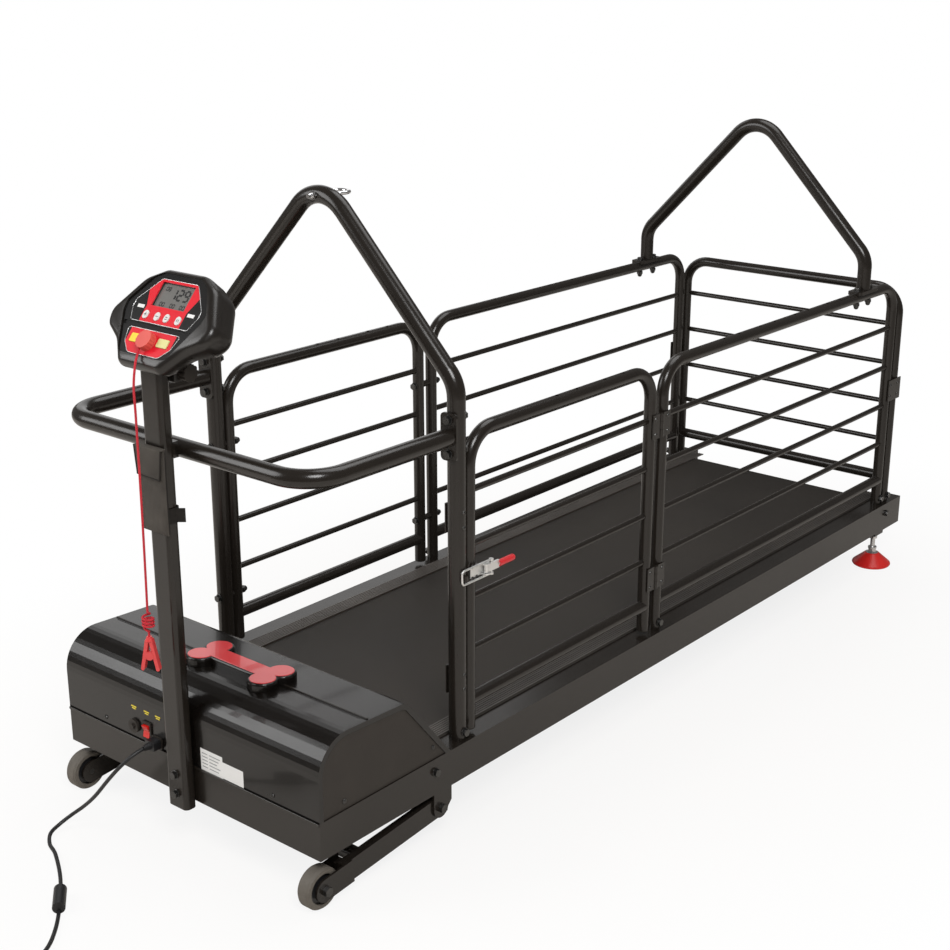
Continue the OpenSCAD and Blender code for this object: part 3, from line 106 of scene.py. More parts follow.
class Finish:
    """One material: its constants stand on the shader's sockets, and what varies is fed to them."""

    def __init__(self, name, **constants):
        self.material = bpy.data.materials.new(name)
        self.material.use_nodes = True
        self.tree = self.material.node_tree
        self.shader = self.tree.nodes["Principled BSDF"]
        for socket, value in constants.items():
            value = (*value, 1) if isinstance(value, tuple) else value
            self.shader.inputs[socket.replace("_", " ")].default_value = value

    def node(self, kind, settings=None, sockets=None, out=0):
        made = self.tree.nodes.new(kind)
        for key, value in (settings or {}).items():
            if key == "stops":
                ramp = made.color_ramp
                for stop, (at, colour) in zip(ramp.elements, value):
                    stop.position = at
                    stop.color = (*colour, 1)
            else:
                setattr(made, key, value)
        for key, value in (sockets or {}).items():
            if isinstance(value, Val):
                self.tree.links.new(value.socket, made.inputs[key])
            else:
                made.inputs[key].default_value = value
        return Val(self, made.outputs[out])

    def place(self):
        return self.node("ShaderNodeTexCoord", out="Object")

    def axes(self):
        spot = self.place()
        return [self.node("ShaderNodeSeparateXYZ", None, {0: spot}, k) for k in range(3)]

    def noise(self, scale, detail=3.0, spot=None):
        spot = spot or self.place()
        return self.node("ShaderNodeTexNoise", None, {"Vector": spot, "Scale": scale, "Detail": detail})

    def blend(self, share, first, second):
        first, second = (colour if isinstance(colour, Val) else (*colour, 1) for colour in (first, second))
        return self.node("ShaderNodeMix", {"data_type": "RGBA"}, {0: share, 6: first, 7: second}, 2)

    def ramp(self, share, *stops):
        return self.node("ShaderNodeValToRGB", {"stops": stops}, {0: share})

    def feed(self, socket, value):
        self.tree.links.new(value.socket, self.shader.inputs[socket])

    def mottle(self, scale, first, second):
        self.feed("Base Color", self.blend(self.noise(scale), first, second))

    def relief(self, height, strength, depth):
        bump = self.node("ShaderNodeBump", None, {"Strength": strength, "Distance": depth, "Height": height})
        self.feed("Normal", bump)

    def dress(self, *names):
        for name in names:
            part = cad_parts[name]
            part.data.materials.clear()
            part.data.materials.append(self.material)


floor_reach, floor_sink = 14, 0.0005
floor_mesh = bmesh.new()
bmesh.ops.create_grid(floor_mesh, x_segments=1, y_segments=1, size=floor_reach)
floor_data = bpy.data.meshes.new("floor")
floor_mesh.to_mesh(floor_data)
floor_mesh.free()
floor_data.transform(Matrix.Translation((0, 0, -floor_sink)))
floor = bpy.data.objects.new("floor", floor_data)
bpy.context.scene.collection.objects.link(floor)
floor_paint = Finish("floor_paint", Base_Color=(0.84, 0.79, 0.73), Roughness=0.8)
across, along = floor_paint.axes()[:2]
away = ((across * 1.5) ** 2.0 + along**2.0) ** 0.5
fade = floor_paint.node(
    "ShaderNodeMapRange",
    {"interpolation_type": "SMOOTHSTEP"},
    {"Value": away, "From Min": 0.7, "From Max": 2.0, "To Min": 0.84},
)
looked_at = floor_paint.node("ShaderNodeLightPath", out="Is Camera Ray")
paper = floor_paint.node("ShaderNodeEmission", None, {"Color": (1, 1, 1, 1), "Strength": 1.0})
painted = Val(floor_paint, floor_paint.shader.outputs[0])
floor_look = floor_paint.node("ShaderNodeMixShader", None, {0: fade * looked_at, 1: painted, 2: paper})
floor_paint.tree.links.new(floor_look.socket, floor_paint.tree.nodes["Material Output"].inputs["Surface"])
floor_data.materials.append(floor_paint.material)

world = bpy.data.worlds.new("surround")
bpy.context.scene.world = world
world.use_nodes = True
sky = world.node_tree
sky.nodes.clear()
ray = sky.nodes.new("ShaderNodeLightPath")
either = sky.nodes.new("ShaderNodeMixShader")
sky.links.new(ray.outputs["Is Camera Ray"], either.inputs[0])
for socket, colour, strength in ((1, (1.0, 0.97, 0.94, 1), 0.17), (2, (1, 1, 1, 1), 1.0)):
    glow = sky.nodes.new("ShaderNodeBackground")
    glow.inputs["Color"].default_value = colour
    glow.inputs["Strength"].default_value = strength
    sky.links.new(glow.outputs[0], either.inputs[socket])
world_out = sky.nodes.new("ShaderNodeOutputWorld")
sky.links.new(either.outputs[0], world_out.inputs[0])

for name, place, aim, size, power in (
    ("key_lamp", (2.6, -2.4, 3.4), (0, -0.4, 0.4), 1.8, 112),
    ("fill_lamp", (-2.2, -3.2, 2.2), (0, -0.3, 0.5), 2.4, 66),
    ("top_lamp", (0.3, 0.9, 3.6), (0, 0.6, 0.3), 2.6, 50),
    ("back_lamp", (-2.8, 1.4, 2.0), (0, -0.5, 0.3), 2.8, 17),
):
    lamp_data = bpy.data.lights.new(name, "AREA")
    lamp_data.shape = "DISK"
    lamp_data.size = size
    lamp_data.energy = power
    lamp = bpy.data.objects.new(name, lamp_data)
    lamp.location = place
    lamp.rotation_euler = (Vector(aim) - Vector(place)).to_track_quat("-Z", "Y").to_euler()
    bpy.context.scene.collection.objects.link(lamp)


# Mains lead: round rubber flex from the appliance connector, over the floor to a tied coil and plug.
# The route repeats the solid's points; the coil spirals in, climbs a layer and spirals out.
flex = Finish("flex_rubber", Base_Color=(0.012, 0.012, 0.013), Roughness=0.45)
flex.feed("Roughness", flex.noise(60.0) * 0.2 + 0.36)
flex.relief(flex.noise(900.0, 1.0), 0.25, 0.0004)
flex.dress("cord_fittings")

lead_d, lead_z = 0.007, 0.0037
lead_corners = [
    Vector((x, y_front + y, z))
    for x, y, z in (
        (-0.074, -0.0343, 0.178), (-0.076, -0.046, 0.175), (-0.081, -0.061, 0.167), (-0.092, -0.077, 0.150),
        (-0.116, -0.082, 0.122), (-0.152, -0.087, 0.079), (-0.187, -0.088, 0.046), (-0.214, -0.098, 0.022),
        (-0.223, -0.118, 0.009), (-0.216, -0.143, lead_z + 0.0006), (-0.188, -0.165, lead_z),
        (-0.152, -0.179, lead_z), (-0.086, -0.217, lead_z), (-0.024, -0.263, lead_z),
        (0.034, -0.314, lead_z), (0.072, -0.363, lead_z),
    )
]


def smooth_path(corners, steps):
    """Catmull-Rom curve through the corners."""
    path = []
    for i in range(len(corners) - 1):
        a, b = corners[max(i - 1, 0)], corners[i]
        c, d = corners[i + 1], corners[min(i + 2, len(corners) - 1)]
        bend, twist = 2 * a - 5 * b + 4 * c - d, 3 * b - a - 3 * c + d
        for t in (k / steps for k in range(steps)):
            path.append(0.5 * (2 * b + (c - a) * t + bend * t**2 + twist * t**3))
    return path + [corners[-1]]


def path_length(path):
    """Length along a path, to the millimetre."""
    return round(sum((b - a).length for a, b in zip(path, path[1:])), 3)


def cord_curve(name, path, diameter, finish, body):
    """Round cord along a path, as a finished piece that rides on a body."""
    data = bpy.data.curves.new(name, "CURVE")
    data.dimensions = "3D"
    data.bevel_depth = diameter / 2
    data.bevel_resolution = 4
    data.use_fill_caps = True
    line = data.splines.new("POLY")
    line.points.add(len(path) - 1)
    for point, at in zip(line.points, path):
        point.co = (*at, 1)
    data.materials.append(finish.material)
    cord = bpy.data.objects.new(name, data)
    bpy.context.scene.collection.objects.link(cord)
    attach(cord, body)
    return cord


per_turn = 24
coil_middle = Vector((0.150, y_front - 0.452, 0))
coil_turns, coil_step, coil_start = 2, 0.0077, 200
coil_outer, coil_lead_in = 0.046, 0.018
coil_inner = coil_outer - coil_turns * coil_step
coil_half = per_turn * coil_turns
climb_steps, round_off = 12, 0.02
coil_loops = []
for i in range(2 * coil_half + 1):
    turn = math.radians(coil_start + 360 / per_turn * i)
    reach = coil_inner + coil_step * math.sqrt(((i - coil_half) / per_turn) ** 2 + round_off)
    climb = min(1, max(0, (i - coil_half + climb_steps / 2) / climb_steps))
    spot = Vector((reach * math.cos(turn), reach * math.sin(turn), lead_z + coil_step * climb))
    coil_loops.append(coil_middle + spot)
coil_way = Vector((-math.sin(math.radians(coil_start)), math.cos(math.radians(coil_start)), 0))
coil_entry = coil_loops[0] - 3 * lead_d * coil_way
free_run = smooth_path(lead_corners + [coil_entry - coil_lead_in * coil_way, coil_entry], 8)
lead_path = [spot for spot in free_run if (spot - coil_entry).length > 2.2 * lead_d]
lead_path += [coil_entry - 1.5 * lead_d * coil_way, coil_entry] + coil_loops
lead_path += [coil_loops[-1] + 2 * lead_d * coil_way, coil_loops[-1] + 3 * lead_d * coil_way]
mains_lead = cord_curve("mains_lead", lead_path, lead_d, flex, "base")
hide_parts("mains_cord", "cord_coil")
path_length(lead_path)

# Lanyard: woven red cord from the safety key, hung over the console's rim, wound into a short hank
# above a moulded clip that goes on clothing.
weave = Finish("woven_cord", Base_Color=(0.5, 0.03, 0.05), Roughness=0.8)
twist = weave.node(
    "ShaderNodeTexWave",
    {"wave_type": "BANDS", "bands_direction": "DIAGONAL"},
    {"Vector": weave.place(), "Scale": 260.0, "Distortion": 1.0},
    1,
)
weave.feed("Base Color", weave.blend(twist, (0.42, 0.012, 0.022), (0.72, 0.03, 0.05)))
weave.relief(twist, 0.5, 0.0006)

tilt = math.radians(40.5)
face_up = Vector((0, math.sin(tilt), math.cos(tilt)))
face_out = Vector((0, -math.cos(tilt), math.sin(tilt)))
face_zero = Vector((0, y_front - 0.01924, 0.921))


def on_face(u, v, n=0.0):
    """Point on the console's face: across, up the face and out of it, in millimetres."""
    return face_zero + Vector((u / 1000, 0, 0)) + face_up * (v / 1000) + face_out * (n / 1000)


lanyard_d = 0.004
hank_x, hank_y, hank_top, clip_top = 0.006, y_front - 0.064, 0.466, 0.428
hang = [
    on_face(-4, -17.4, 8), on_face(-2, -22, 8.4), on_face(4, -34, 9.6), on_face(8, -46, 8.5),
    Vector((0.013, y_front - 0.065, 0.859)), Vector((0.013, y_front - 0.065, 0.811)),
    Vector((0.012, y_front - 0.065, 0.700)), Vector((0.010, y_front - 0.0646, 0.600)),
    Vector((hank_x + 0.001, y_front - 0.0642, 0.500)), Vector((hank_x, hank_y, hank_top + 0.012)),
]
hank_r, hank_pitch, hank_drop, hank_steps, ease_steps = 0.009, 0.006, 0.035, 4 * per_turn, 12
hank = []
for i in range(hank_steps + 1):
    ease = min(1, min(i, hank_steps - i) / ease_steps)
    turn = math.radians(360 / per_turn * i)
    lift = (1 - ease) * (hank_pitch if i < ease_steps else -hank_pitch)
    out = Vector((math.cos(turn), math.sin(turn), 0)) * hank_r * ease
    hank.append(Vector((hank_x, hank_y, hank_top - hank_pitch * i / per_turn + lift)) + out)
drop = [Vector((hank_x, hank_y, z)) for z in (hank_top - hank_drop, clip_top)]
lanyard_path = smooth_path(hang, 8) + hank + drop
lanyard = cord_curve("key_lanyard", lanyard_path, lanyard_d, weave, "safety_key")
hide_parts("lanyard")
path_length(lanyard_path)
clip_plastic = Finish("clip_plastic", Roughness=0.3)
cloudy = clip_plastic.noise(80.0)
clip_plastic.feed("Base Color", clip_plastic.blend(cloudy, (0.66, 0.045, 0.05), (0.78, 0.075, 0.075)))
clip_plastic.feed("Roughness", cloudy * 0.15 + 0.25)
clip_plastic.dress("lanyard_clip")

# Frame: box rails, plates and round tube, welded and powder coated in satin black.
# The coat has a fine orange peel and rubs a little greyer in patches.
powder = Finish("satin_powder_coat", Roughness=0.22, Specular_IOR_Level=0.42)
powder.mottle(7.0, (0.0120, 0.0096, 0.0076), (0.0185, 0.0148, 0.0118))
powder.feed("Roughness", powder.noise(25.0) * 0.10 + 0.17)
powder.relief(powder.noise(160.0, 2.0), 0.05, 0.0005)
powder.dress(
    "side_rails", "front_plate", "cross_members", "lift_frame", "pivot_brackets", "mast", "front_arch",
    "handlebar", "rear_arch", "gate_frame", "gate_bars", "panel_frames", "panel_bars", "gate_hinges",
    "post_plates",
)

# Running belt: woven-backed rubber with a fine diamond tread pressed into its face.
# Feet scuff it a little greyer, in broad patches.
tread = Finish("belt_rubber", Roughness=0.6, Specular_IOR_Level=0.35)
across, along = tread.axes()[:2]
diamond = ((across + along) * 1100.0).sine() * ((across - along) * 1100.0).sine()
scuff = tread.noise(3.0, 6.0)
tread.feed("Base Color", tread.ramp(scuff, (0.3, (0.0190, 0.0155, 0.0125)), (0.75, (0.0320, 0.0265, 0.0215))))
tread.feed("Roughness", scuff * 0.3 + 0.45)
tread.relief(diamond, 0.35, 0.0008)
tread.dress("running_belt")

# Foot strips: ribbed strips to stand on, extruded in charcoal plastic and clipped to the rails.
# Grime makes its grey uneven, in broad patches.
strip_plastic = Finish("strip_plastic", Roughness=0.5)
grime = strip_plastic.noise(5.0, 5.0)
greys = ((0.3, (0.070, 0.062, 0.055)), (0.8, (0.125, 0.112, 0.100)))
strip_plastic.feed("Base Color", strip_plastic.ramp(grime, *greys))
strip_plastic.feed("Roughness", strip_plastic.noise(30.0) * 0.2 + 0.38)
strip_plastic.relief(strip_plastic.noise(700.0, 2.0), 0.15, 0.0004)
strip_plastic.dress("foot_strips")

# Deck board: waxed plywood under the belt, screwed to the cross members.
# Its grain runs the length of the machine.
board = Finish("waxed_board", Roughness=0.5)
fibres = board.node("ShaderNodeMapping", None, {"Vector": board.place(), "Scale": (60.0, 3.0, 60.0)})
grain = board.noise(2.0, 5.0, fibres)
board.feed("Base Color", board.ramp(grain, (0.3, (0.13, 0.085, 0.05)), (0.75, (0.24, 0.165, 0.10))))
board.dress("deck_board")

# Rollers, axles, pulley, motor tray and push rod: turned or pressed steel, zinc plated.
# The plating has a faint spangle that takes the light unevenly.
zinc = Finish("zinc_plate", Metallic=1.0, Roughness=0.35)
spangle = zinc.noise(90.0, 4.0)
zinc.feed("Base Color", zinc.blend(spangle, (0.52, 0.53, 0.54), (0.72, 0.72, 0.71)))
zinc.feed("Roughness", spangle * 0.25 + 0.26)
zinc.dress("motor_tray", "front_roller", "rear_roller", "roller_axles", "motor_pulley", "incline_rod")

# Drive and lift jack: enamelled castings and a finned control box, bolted to the tray and the frame.
# A ribbed rubber belt joins the motor to the front roller.
enamel = Finish("motor_enamel", Roughness=0.42)
enamel.mottle(12.0, (0.05, 0.05, 0.055), (0.085, 0.085, 0.09))
enamel.relief(enamel.noise(300.0), 0.15, 0.0006)
enamel.dress("drive_motor", "incline_actuator", "control_box")
ribbed = Finish("belt_ribs", Roughness=0.6)
ribbed.mottle(40.0, (0.012, 0.012, 0.012), (0.03, 0.03, 0.03))
ribbed.relief((ribbed.axes()[0] * 2600.0).sine(), 0.5, 0.001)
ribbed.dress("drive_belt")

# Ring bolt: bright plated steel, screwed through the top of the front arch.
# The plating is nearly a mirror, with a few dull patches.
chrome = Finish("bright_plate", Metallic=1.0, Roughness=0.16)
chrome.mottle(20.0, (0.66, 0.66, 0.67), (0.80, 0.80, 0.80))
chrome.feed("Roughness", chrome.noise(120.0) * 0.12 + 0.10)
chrome.dress("eye_bolt")

# Lift wheels: a solid grey-tan tyre pressed on a black moulded hub.
# The tyre is dusty, and the hub smoother.
wheel_rubber = Finish("wheel_rubber", Roughness=0.65)
along, up = wheel_rubber.axes()[1:]
axle_y, axle_z, hub_r = y_front + 0.010, 0.0375, 0.0262
outer = ((along - axle_y) ** 2.0 + (up - axle_z) ** 2.0) ** 0.5 > hub_r
dust = wheel_rubber.noise(60.0, 5.0)
tyre_colour = wheel_rubber.blend(dust, (0.085, 0.074, 0.062), (0.165, 0.148, 0.125))
wheel_rubber.feed("Base Color", wheel_rubber.blend(outer, (0.016, 0.016, 0.017), tyre_colour))
wheel_rubber.feed("Roughness", outer * 0.3 + 0.38)
wheel_rubber.relief(wheel_rubber.noise(500.0), 0.2, 0.0005)
wheel_rubber.dress("wheel_near", "wheel_far")

# Levelling feet: red moulded cones on plated studs, locked with hexagon nuts under the rails.
# One finish does both, with the change of stuff at the top of the cone.
foot_finish = Finish("foot_cone", Roughness=0.4)
cone_top = 0.0319
metal = foot_finish.axes()[2] > cone_top
cone = foot_finish.blend(foot_finish.noise(30.0), (0.68, 0.018, 0.015), (0.82, 0.030, 0.025))
foot_finish.feed("Base Color", foot_finish.blend(metal, cone, (0.70, 0.70, 0.70)))
foot_finish.feed("Metallic", metal)
foot_finish.feed("Roughness", foot_finish.noise(60.0) * 0.15 + 0.26)
foot_finish.dress("foot_near", "foot_far")

# Hood: vacuum-formed gloss sheet over the motor bay, screwed down at its ends.
# Grained end plates are set inside its lip; other small mouldings share their grain.
gloss = Finish("gloss_black", Base_Color=(0.0050, 0.0039, 0.0031), Roughness=0.14, Specular_IOR_Level=0.3)
gloss.shader.inputs["Coat Weight"].default_value = 0.25
gloss.shader.inputs["Coat Roughness"].default_value = 0.06
gloss.feed("Roughness", gloss.noise(14.0, 5.0) * 0.16 + 0.16)
gloss.relief(gloss.noise(16.0, 2.0), 0.05, 0.002)
gloss.dress("hood")
grained = Finish("grained_black", Roughness=0.55, Specular_IOR_Level=0.35)
grained.mottle(18.0, (0.021, 0.0170, 0.0138), (0.032, 0.0262, 0.0212))
grained.relief(grained.noise(650.0, 2.0), 0.3, 0.0005)
grained.dress("hood_ends", "power_fittings", "clamp_knob", "breaker_button")


# Lid seam: the folded lip where the hood's front sheet meets its lid, across the whole top.
# It runs just behind the middle of the badge, which covers it there.
def slab(bm, size, middle=(0, 0, 0)):
    """Adds a box of the given size about a point."""
    corners = bmesh.ops.create_cube(bm, size=1)["verts"]
    bmesh.ops.scale(bm, verts=corners, vec=size)
    bmesh.ops.translate(bm, verts=corners, vec=middle)
    return corners


def round_edges(bm, offset, segments, edges=None):
    """Rounds the given edges, or all of them."""
    edges = edges or bm.edges[:]
    bmesh.ops.bevel(
        bm, geom=edges, offset=offset, segments=segments, profile=0.5, affect="EDGES", material=-1
    )


def new_piece(name, bm, finish, body):
    """Turns a bmesh into a finished piece that rides on a body."""
    bmesh.ops.recalc_face_normals(bm, faces=bm.faces)
    data = bpy.data.meshes.new(name)
    bm.to_mesh(data)
    bm.free()
    data.materials.append(finish.material)
    piece = bpy.data.objects.new(name, data)
    bpy.context.scene.collection.objects.link(piece)
    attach(piece, body)
    return piece


hood_low, hood_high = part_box("hood")
lid_slope = math.atan(9 / 212)
seam_back, seam_z = 0.120, 0.3134
seam_short, seam_deep, seam_tall = 0.006, 0.0044, 0.0034
seam_at = ((hood_low.x + hood_high.x) / 2, y_front + seam_back, seam_z - seam_back * math.tan(lid_slope))
seam_place = Matrix.Translation(seam_at) @ Matrix.Rotation(-lid_slope, 4, "X")
lip = bmesh.new()
slab(lip, (hood_high.x - hood_low.x - seam_short, seam_deep, seam_tall))
round_edges(lip, 0.0008, 2)
bmesh.ops.transform(lip, verts=lip.verts, matrix=seam_place)
# Painted highlight: the lip wears the frame's lighter satin coat instead of the hood's gloss black, as the
# edge line that catches the light.
new_piece("lid_seam", lip, powder, "base")

# Badge: black moulded bone with rounded sides and a red lacquered face on its top.
# It is glued over the seam of the hood's lid.
red_lacquer = Finish("red_lacquer", Roughness=0.22)
red_lacquer.shader.inputs["Coat Weight"].default_value = 0.5
red_lacquer.mottle(9.0, (0.52, 0.024, 0.028), (0.64, 0.042, 0.048))
red_lacquer.feed("Roughness", red_lacquer.noise(40.0) * 0.12 + 0.18)
bone_length, knob, bone_top = 0.216, 0.028, 0.017
lobe_rise, shaft_dip, least_step = 0.78 * knob, 0.02 * knob, 0.0002


def bone_outline(rim):
    """Outline of the bone drawn in by a rim: four lobes about the ends of a shaft."""
    lobe = knob - rim
    notch = math.asin(lobe_rise / lobe)
    waist = math.asin((shaft_dip - rim) / lobe)
    path = []
    for sx, sy, start, end in (
        (1, 1, -notch, math.pi - waist),
        (-1, 1, waist, math.pi + notch),
        (-1, -1, math.pi - notch, 2 * math.pi - waist),
        (1, -1, math.pi + waist, 2 * math.pi + notch),
    ):
        centre = Vector((sx * (bone_length / 2 - knob), sy * lobe_rise, 0))
        for k in range(18):
            turn = start + (end - start) * k / 17
            spot = centre + lobe * Vector((math.cos(turn), math.sin(turn), 0))
            if not path or (spot - path[-1]).length > least_step:
                path.append(spot)
    return path if (path[0] - path[-1]).length > least_step else path[:-1]


def loft(bm, rings):
    """Skins a stack of rings point to point and closes both ends."""
    count = min(len(ring) for ring in rings)
    for low, high in zip(rings, rings[1:]):
        for k in range(count):
            j = (k + 1) % count
            bm.faces.new((low[k], low[j], high[j], high[k]))
    bm.faces.new(list(reversed(rings[0][:count])))
    bm.faces.new(rings[-1][:count])


bone_x, bone_back, lid_z = 0.028, 0.112, 0.313
bone_at = Vector((bone_x, y_front + bone_back, lid_z - bone_back * math.tan(lid_slope)))
bone_place = Matrix.Translation(bone_at) @ Matrix.Rotation(-lid_slope, 4, "X")
body_top, round_side, body_rim, side_lean = bone_top - 0.001, 0.0055, 0.0006, 0.62
sides = [(0.0, 0.0), (0.0, body_top - round_side)]
sides += [
    (round_side * (1 - math.cos(a)), body_top - round_side * (1 - math.sin(a)))
    for a in (math.radians(15 * k) for k in range(1, 7))
]
bone_body = bmesh.new()
loops = []
for inset, height in sides:
    flat = bone_outline(body_rim + inset * side_lean)
    loops.append([bone_body.verts.new((p.x, p.y, height)) for p in flat])
loft(bone_body, loops)
bmesh.ops.transform(bone_body, verts=bone_body.verts, matrix=bone_place)
badge_body = new_piece("badge_body", bone_body, gloss, "base")
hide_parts("badge")

face_rim, face_tall, face_sunk = 0.0045, 0.0018, 0.0008
bone_face = bmesh.new()
lid = bone_face.faces.new([bone_face.verts.new(p) for p in bone_outline(face_rim)])
lifted = bmesh.ops.extrude_face_region(bone_face, geom=[lid])
raised = [v for v in lifted["geom"] if isinstance(v, bmesh.types.BMVert)]
bmesh.ops.translate(bone_face, verts=raised, vec=(0, 0, face_tall))
top_edges = [e for e in bone_face.edges if all(v.co.z > face_tall / 2 for v in e.verts)]
round_edges(bone_face, 0.0009, 3, top_edges)
face_place = bone_place @ Matrix.Translation((0, 0, body_top - face_sunk))
bmesh.ops.transform(bone_face, verts=bone_face.verts, matrix=face_place)
new_piece("badge_face", bone_face, red_lacquer, "base")

# Power fittings: a red moulded rocker, with bare yellow film tags above the three fittings.
# Each tag is a long bar over a short one, stuck to the hood.
rocker_red = Finish("rocker_red", Roughness=0.25)
rocker_red.mottle(50.0, (0.60, 0.012, 0.008), (0.72, 0.02, 0.014))
rocker_red.dress("power_rocker")
yellow = Finish("yellow_film", Roughness=0.4)
yellow.mottle(60.0, (0.80, 0.62, 0.025), (0.88, 0.70, 0.04))
tag_t, tag_tall = 0.0004, 0.0022
tags = bmesh.new()
for tag_x in (-0.136, -0.101, -0.070):
    for wide, height in ((0.014, 0.2285), (0.010, 0.2245)):
        slab(tags, (wide, tag_t, tag_tall), (tag_x, y_front - tag_t / 2, height))
new_piece("fitting_tags", tags, yellow, "base")

# Rating label: white film in two steps, stuck to the hood beside the mast.
# It carries plain grey lines where print would be.
label_film = Finish("label_film", Roughness=0.45)
label_film.mottle(40.0, (0.76, 0.76, 0.75), (0.84, 0.84, 0.83))
film_t = 0.0003
label = bmesh.new()
for left, right, low, high in ((0.042, 0.098, 0.165, 0.207), (0.098, 0.150, 0.167, 0.198)):
    middle = ((left + right) / 2, y_front - film_t / 2, (low + high) / 2)
    slab(label, (right - left, film_t, high - low), middle)
new_piece("rating_label", label, label_film, "base")
label_ink = Finish("label_ink", Roughness=0.5)
label_ink.mottle(90.0, (0.20, 0.21, 0.22), (0.34, 0.35, 0.36))
top_line, line_gap, line_tall, line_out = 0.199, 0.0064, 0.0016, 0.0004
print_lines = bmesh.new()
for row in range(5):
    for left, wide in ((0.046, 0.014), (0.064, 0.028 - 0.004 * (row % 3))):
        middle = (left + wide / 2, y_front - line_out, top_line - line_gap * row)
        slab(print_lines, (wide, film_t, line_tall), middle)
new_piece("label_lines", print_lines, label_ink, "base")

# Plate lip and gap shade: the turned top edge of the front plate, and a thin black strip under the hood,
# painted shadow for the dark gap above the plate. Both run across the front and stop at the mast.
# Painted shadow: near black, very rough and dull, so the strip reads as the shaded gap under the hood's edge.
gap_shade_paint = Finish(
    "gap_shade_paint", Base_Color=(0.0022, 0.0020, 0.0018), Roughness=0.9, Specular_IOR_Level=0.1
)
gap_shade_paint.feed("Roughness", gap_shade_paint.noise(80.0) * 0.1 + 0.85)
plate_low, plate_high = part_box("front_plate")
mast_low, mast_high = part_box("mast")
lip_deep, lip_tall, gap_shade_deep, gap_shade_tall = 0.0024, 0.0050, 0.0002, 0.0030
for name, deep, tall, base_z, round_edge, finish, slot in (
    ("plate_lip", lip_deep, lip_tall, plate_high.z - lip_tall, 0.0010, powder, "frame_paint"),
    ("hood_gap_shade", gap_shade_deep, gap_shade_tall, plate_high.z, 0.00008, gap_shade_paint, "black_plastic"),
):
    strip = bmesh.new()
    for left, right in ((plate_low.x, mast_low.x), (mast_high.x, plate_high.x)):
        middle = ((left + right) / 2, y_front - deep / 2, base_z + tall / 2)
        slab(strip, (right - left, deep, tall), middle)
    round_edges(strip, round_edge, 3)
    new_piece(name, strip, finish, "base")

# Console face: two film panels printed red in the middle and black at the sides, a grey display,
# four white oval keys, two yellow keys, and a fluted magnetic key, each moulded and pressed in.
red_film = Finish("red_film", Roughness=0.3, Specular_IOR_Level=0.25)
across, along, up = red_film.axes()
climb = (along - face_zero.y) * math.sin(tilt) + (up - face_zero.z) * math.cos(tilt)
half_red, flare, flare_from, low_panel, low_extra = 0.049, 0.44, 0.061, 0.026, 0.006
spread = (climb - flare_from).at_least(0.0) * flare + (climb < low_panel) * low_extra + half_red
red_ink = red_film.blend(red_film.noise(25.0), (0.66, 0.010, 0.022), (0.78, 0.018, 0.034))
red_film.feed("Base Color", red_film.blend(abs(across) < spread, (0.0035, 0.0033, 0.0032), red_ink))
red_film.feed("Roughness", red_film.noise(90.0) * 0.15 + 0.24)
red_film.dress("console_panel")
glass_grey = Finish("display_glass", Roughness=0.16)
glass_grey.mottle(8.0, (0.150, 0.148, 0.140), (0.190, 0.186, 0.176))
glass_grey.dress("console_lcd")
key_white = Finish("key_white", Roughness=0.4)
key_white.mottle(60.0, (0.66, 0.66, 0.64), (0.76, 0.76, 0.74))
key_white.dress("key_1", "key_2", "key_3", "key_4")
yellow.dress("key_start")
key_pale = Finish("key_pale", Roughness=0.4)
key_pale.mottle(60.0, (0.68, 0.66, 0.25), (0.76, 0.74, 0.33))
key_pale.dress("key_stop")
salmon = Finish("key_salmon", Roughness=0.42)
salmon.mottle(40.0, (0.64, 0.075, 0.060), (0.76, 0.11, 0.085))
salmon.dress("safety_key")

# Panel edge lines: a thin silver line round each panel of the console's face.
# It is printed on the real one, and a fine bead here.
to_face = Matrix.Translation(face_zero) @ Matrix.Rotation(math.pi / 2 - tilt, 4, "X")
silver = Finish("silver_print", Metallic=0.9, Roughness=0.3)
silver.mottle(50.0, (0.55, 0.55, 0.56), (0.68, 0.68, 0.68))


def rounded_outline(half, radii, steps=6):
    """Mirrored outline with arcs at its corners, in millimetres on the face."""
    points = [Vector((x, y)) for x, y in half] + [Vector((-x, y)) for x, y in reversed(half)]
    radii = list(radii) + list(reversed(radii))
    path = []
    for i, (corner, radius) in enumerate(zip(points, radii)):
        into = (corner - points[i - 1]).normalized()
        out = (points[(i + 1) % len(points)] - corner).normalized()
        turn = math.atan2(into.x * out.y - into.y * out.x, into.dot(out))
        side = 1 if turn > 0 else -1
        touch = corner - into * radius * math.tan(abs(turn) / 2)
        centre = touch + side * radius * Vector((-into.y, into.x))
        start = math.atan2(-side * into.x, side * into.y)
        for k in range(steps + 1):
            a = start + turn * k / steps
            path.append(centre + radius * Vector((math.cos(a), math.sin(a))))
    return path


line_d, line_inset = 0.0013, 0.8
upper_panel = (((44, 112), (80.5, 68), (80, 55), (70, 32)), (8, 14, 8, 5))
lower_panel = (((64, 20), (57, -6), (38, -24)), (5, 14, 14))
for name, (half, radii) in (("upper_edge_line", upper_panel), ("lower_edge_line", lower_panel)):
    outline = rounded_outline([(x - line_inset, y) for x, y in half], radii)
    loop = [to_face @ (p.to_3d() / 1000) for p in outline]
    cord_curve(name, loop + loop[:1], line_d, silver, "base")

